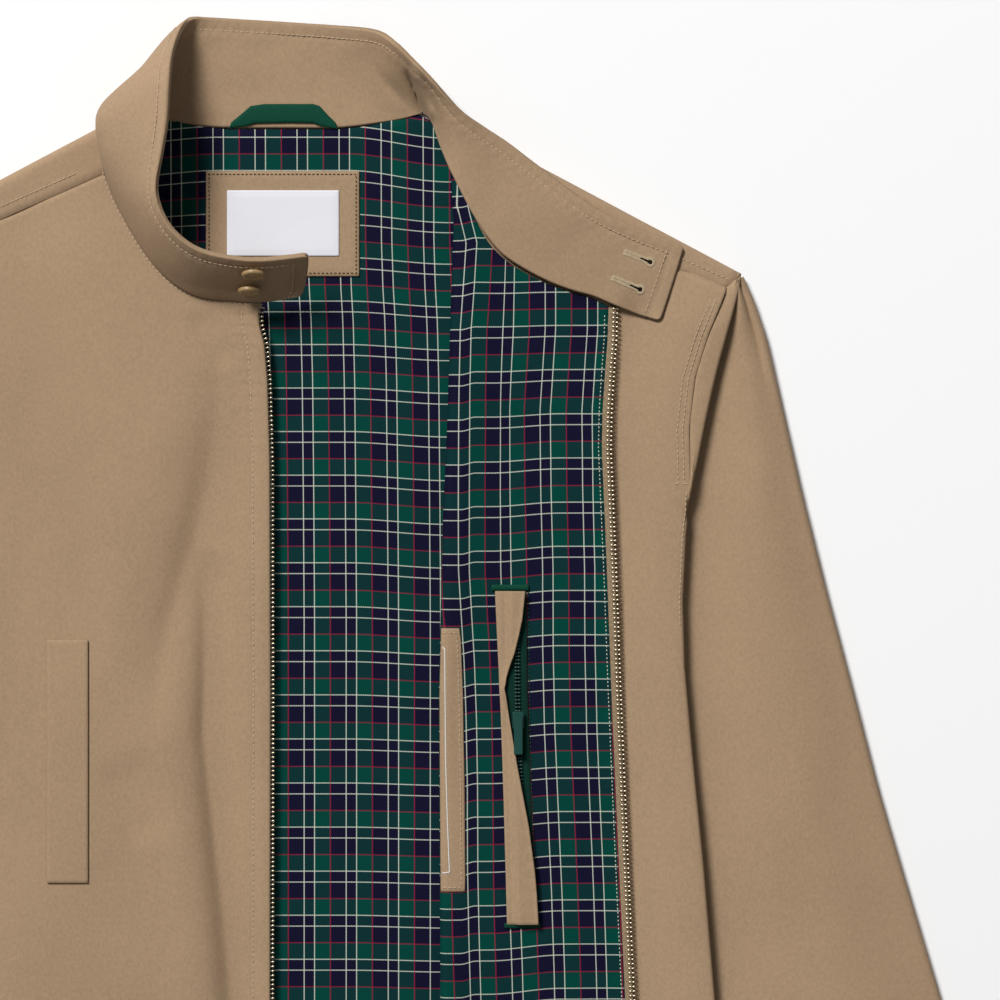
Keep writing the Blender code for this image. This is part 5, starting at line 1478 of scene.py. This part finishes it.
class JACKET_OT_pockets(bpy.types.Operator):
    """Makes the zipped inner pocket, the pocket backing at the fold and the hand pocket's welt"""

    bl_idname = "jacket.pockets"
    bl_label = "Pockets"

    def execute(self, context):
        sew_backing()
        top, low = POCKET_ZIP[0].y, POCKET_ZIP[-1].y
        # The pocket's zip tape wears a darkened copy of the green tape: painted shade of the slit it lies in
        sew("pocket_zip_tape_cloth", strip_grid(POCKET_ZIP, top, low, -5.5, 5.2, tape_height, 120, 8), 0, -0.7,
            "pocket_tape_shaded", "green_tape", ["pocket_zip_tape"], (10.7, top - low))
        repeats("pocket_zip_teeth", [on_line(POCKET_ZIP, -247, -419, 0, lambda x, y: tape_height(x, y) + GAP + 1.3,
                                             120)],
                tooth_piece("pocket_tooth", 3.0, 1.2, 1.2), 1.9, "dark_coil", ["pocket_zip_chain"],
                pi / 2, 5, 0.03)
        for name, rows, over in (("pocket_guard_upper", GUARD_UPPER, -0.25),
                                 ("pocket_guard_lower", GUARD_LOWER, 0.25)):
            long = rows[0].y - rows[-1].y
            sew(name + "_cloth", guard_grid(rows, over), 0, -0.9, "shell_twill", "khaki_twill", [name], (16, long),
                11.5 * long)
        bulge = 0.5 * np.sin(np.linspace(0, pi, 8))[:, None]
        for name, top, tall, left, right in (("pocket_piping_upper", -242.2, 2.2, 110.8, 129.9),
                                             ("pocket_piping_lower", -420.7, 1.5, 117.7, 136.2)):
            grid = box_grid(left, right, top, top - tall, lambda x, y: tape_height(x, y) + bulge, 24, 8)
            sew(name + "_cloth", grid, 0, -1.0, "trim_tape", "green_tape", [name])
        grid = box_grid(*WELT, lambda x, y: closed_surface(x, y) + 1.6 * GAP, 16, 80)
        sew("pocket_welt_cloth", grid, 0, -1.0, "shell_twill", "khaki_twill", ["pocket_welt_right"],
            (WELT[1] - WELT[0], WELT[2] - WELT[3]), rests_on=["front_right_cloth"])
        paint_nodes(("pocket_slider", "pocket_pull"), "green_enamel_coat")
        return {"FINISHED"}


def on_line(table, start, stop, offset, height, count=200):
    """Points along a line down the cloth, moved sideways and laid on a surface."""
    return strip_grid(table, start, stop, offset, offset, height, count, 1)[:, 0]


def on_path(path, height, spacing=1.5):
    """Points along a path of plan corners, laid on a surface."""
    path = np.asarray(path, float)
    found = []
    for a, b in zip(path[:-1], path[1:]):
        count = max(int(np.hypot(*(b - a)) / spacing), 1)
        found += [a + (b - a) * k / count for k in range(count)]
    return laid(np.array(found + [path[-1]]), height)


def shell_runs(up):
    """The lines of topstitching on the fronts, the armholes and the shoulders, lifted clear of the cloth."""
    def closed(x, y):
        return closed_surface(x, y) + up

    def opened(x, y):
        return open_surface(x, y) + up

    neck = smooth(NECK_RIGHT_FRONT, np.linspace(0, 0.98, 120))
    along = np.gradient(neck, axis=0)
    out = np.stack([along[:, 1], -along[:, 0]], axis=1) / np.linalg.norm(along, axis=1, keepdims=True)
    runs = [on_line(CLOSED_EDGE, -93, HEM_SEAM_Y, -8.6, closed, 400), on_path(neck - 1.9 * out, closed)]
    for sign, height in ((-1, closed), (1, opened)):
        for start, stop, inset, inset_end, count in ARMHOLE_STITCHES:
            y = np.linspace(start, stop, count)
            x = x_at(SIDE, y) - np.linspace(inset, inset_end, count)
            runs.append(on_path(np.stack([sign * x, y], axis=1), height))
    runs.append(on_path([(-232, HEM_SEAM_Y + 2.2), (-8, HEM_SEAM_Y + 2.2)], closed))
    back = height_on(bpy.data.objects["back_cloth"])
    for sign, start in ((-1, 110.0), (1, 196.0)):
        x = np.linspace(start, 235.0, 80)
        plan = np.stack([sign * x, NECK_POINT_Y + (x - NECK_HALF) * SHOULDER_GRADE + 6.6], axis=1)
        runs.append(laid(plan, lambda x, y: back(x, y) + up))
    return runs


def collar_runs(up, inset):
    """The lines of topstitching round both faces of the collar."""
    grid, normal, edge, ends, half = collar_parts(inset)
    loops = []
    for sign in (1, -1):
        face = grid + normal * (sign * (half + up))[..., None]
        line = []
        for row in np.flatnonzero(ends[:, -1] >= inset):
            column = np.interp(-inset, -edge[row], np.arange(edge.shape[1]))
            low = min(int(column), edge.shape[1] - 2)
            line.append(face[row, low] + (face[row, low + 1] - face[row, low]) * (column - low))
        loops.append(np.array(line))
        first = int(np.searchsorted(ends[:130, -1], inset))
        last = len(face) - 1 - int(np.searchsorted(ends[::-1, -1][:130], inset))
        loops += [face[row, 3:int(face.shape[1] * 0.86)] for row in (first, last)]
    return loops


class JACKET_OT_stitching(bpy.types.Operator):
    """Sews the topstitching of every piece"""

    bl_idname = "jacket.stitching"
    bl_label = "Stitching"

    def execute(self, context):
        sizes = context.scene.jacket_sizes
        spacing, long, thick = (v / MM for v in (sizes.stitch_spacing, sizes.stitch_length, sizes.thread_radius))
        stitch = capsule("stitch", long, thick)
        fine = capsule("fine_stitch", long * 0.6, thick * 0.9)
        up = thick * 0.45

        def flap(x, y):
            return flap_surface(x, y) + up

        repeats("shell_stitches", shell_runs(up), stitch, spacing, "shell_thread")
        repeats("collar_stitches", collar_runs(up, sizes.collar_stitch_inset / MM), stitch, spacing, "shell_thread")
        left, right, top, bottom = LABEL_PATCH + np.array((1, -1, -1, 1)) * PATCH_STITCH_INSET
        ring = [(left, top), (right, top), (right, bottom), (left, bottom), (left, top)]
        repeats("patch_stitches", [on_path(ring, lambda x, y: neck_face(x, y) + GAP + PATCH_THICK + 0.1 + up)],
                capsule("patch_stitch", 1.25, 0.3), 2.2, "patch_thread")
        repeats("lining_stitches", [on_line(OPEN_ZIP, -100, -606, -LINING_INSET - 1.6, flap, 300)],
                capsule("pick_stitch", 1.0, 0.26), 2.1, "cream_thread")
        repeats("pocket_stitches", [on_path(POCKET_SEAM, lambda x, y: flap(x, y) + 0.1)], fine, 2.2, "green_thread")
        return {"FINISHED"}


class JACKET_OT_stage(bpy.types.Operator):
    """Sets the floor, the lights and the camera"""

    bl_idname = "jacket.stage"
    bl_label = "Stage"

    def execute(self, context):
        sizes, scene = context.scene.jacket_sizes, context.scene
        corners = [(x * FLOOR_HALF, y * FLOOR_HALF, FLOOR_Z) for x, y in ((-1, -1), (1, -1), (1, 1), (-1, 1))]
        hard_material("floor_paint", (0.92, 0.92, 0.92), 0.9)
        floor = mesh_object("floor", corners, [(0, 1, 2, 3)], fabric("floor_paint"), smooth_faces=False)
        if floor.data.polygons[0].normal.z < 0:
            floor.data.flip_normals()
        world = bpy.data.worlds.new("studio")
        scene.world = world
        world.use_nodes = True
        sky = world.node_tree.nodes["Background"].inputs
        sky[0].default_value, sky[1].default_value = (1.0, 1.0, 1.0, 1), SKY_STRENGTH
        for name, spot, size, power in LAMPS:
            light = bpy.data.lights.new(name, "AREA")
            light.size, light.energy = size, power
            lamp = bpy.data.objects.new(name, light)
            lamp.location = spot
            lamp.rotation_euler = (Vector(LAMP_TARGET) - Vector(spot)).to_track_quat("-Z", "Y").to_euler()
            scene.collection.objects.link(lamp)
        camera = bpy.data.cameras.new("camera")
        camera.lens = camera.sensor_width * sizes.camera_distance / sizes.view_width
        camera.clip_end = 20
        eye = bpy.data.objects.new("camera", camera)
        eye.location = (*place(VIEW_CENTRE)[:2], sizes.camera_distance)
        scene.collection.objects.link(eye)
        scene.camera = eye
        scene.view_settings.view_transform = "Standard"
        return {"FINISHED"}


STEPS = (JACKET_OT_fabrics, JACKET_OT_back, JACKET_OT_fronts, JACKET_OT_sleeves, JACKET_OT_ribs, JACKET_OT_collar,
         JACKET_OT_zips, JACKET_OT_neck, JACKET_OT_pockets, JACKET_OT_stitching, JACKET_OT_stage)


class JACKET_PT_panel(bpy.types.Panel):
    """Lists the steps and the settings in the sidebar."""

    bl_idname = "JACKET_PT_panel"
    bl_label = "Jacket"
    bl_space_type = "VIEW_3D"
    bl_region_type = "UI"
    bl_category = "Jacket"

    def draw(self, context):
        for step in STEPS:
            self.layout.operator(step.bl_idname)
        for group in (context.scene.jacket_sizes, context.scene.jacket_colours):
            for name in group.__annotations__:
                self.layout.prop(group, name)


CLASSES = (JacketSizes, JacketColours, *STEPS, JACKET_PT_panel)


def register():
    """Adds the classes and the scene's settings."""
    for item in CLASSES:
        bpy.utils.register_class(item)
    bpy.types.Scene.jacket_sizes = bpy.props.PointerProperty(type=JacketSizes)
    bpy.types.Scene.jacket_colours = bpy.props.PointerProperty(type=JacketColours)


def unregister():
    """Removes what register() added."""
    del bpy.types.Scene.jacket_colours
    del bpy.types.Scene.jacket_sizes
    for item in reversed(CLASSES):
        bpy.utils.unregister_class(item)


def main():
    """Makes everything."""
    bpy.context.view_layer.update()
    register()
    for step in STEPS:
        group, name = step.bl_idname.split(".")
        getattr(getattr(bpy.ops, group), name)()


if __name__ == "__main__":
    main()
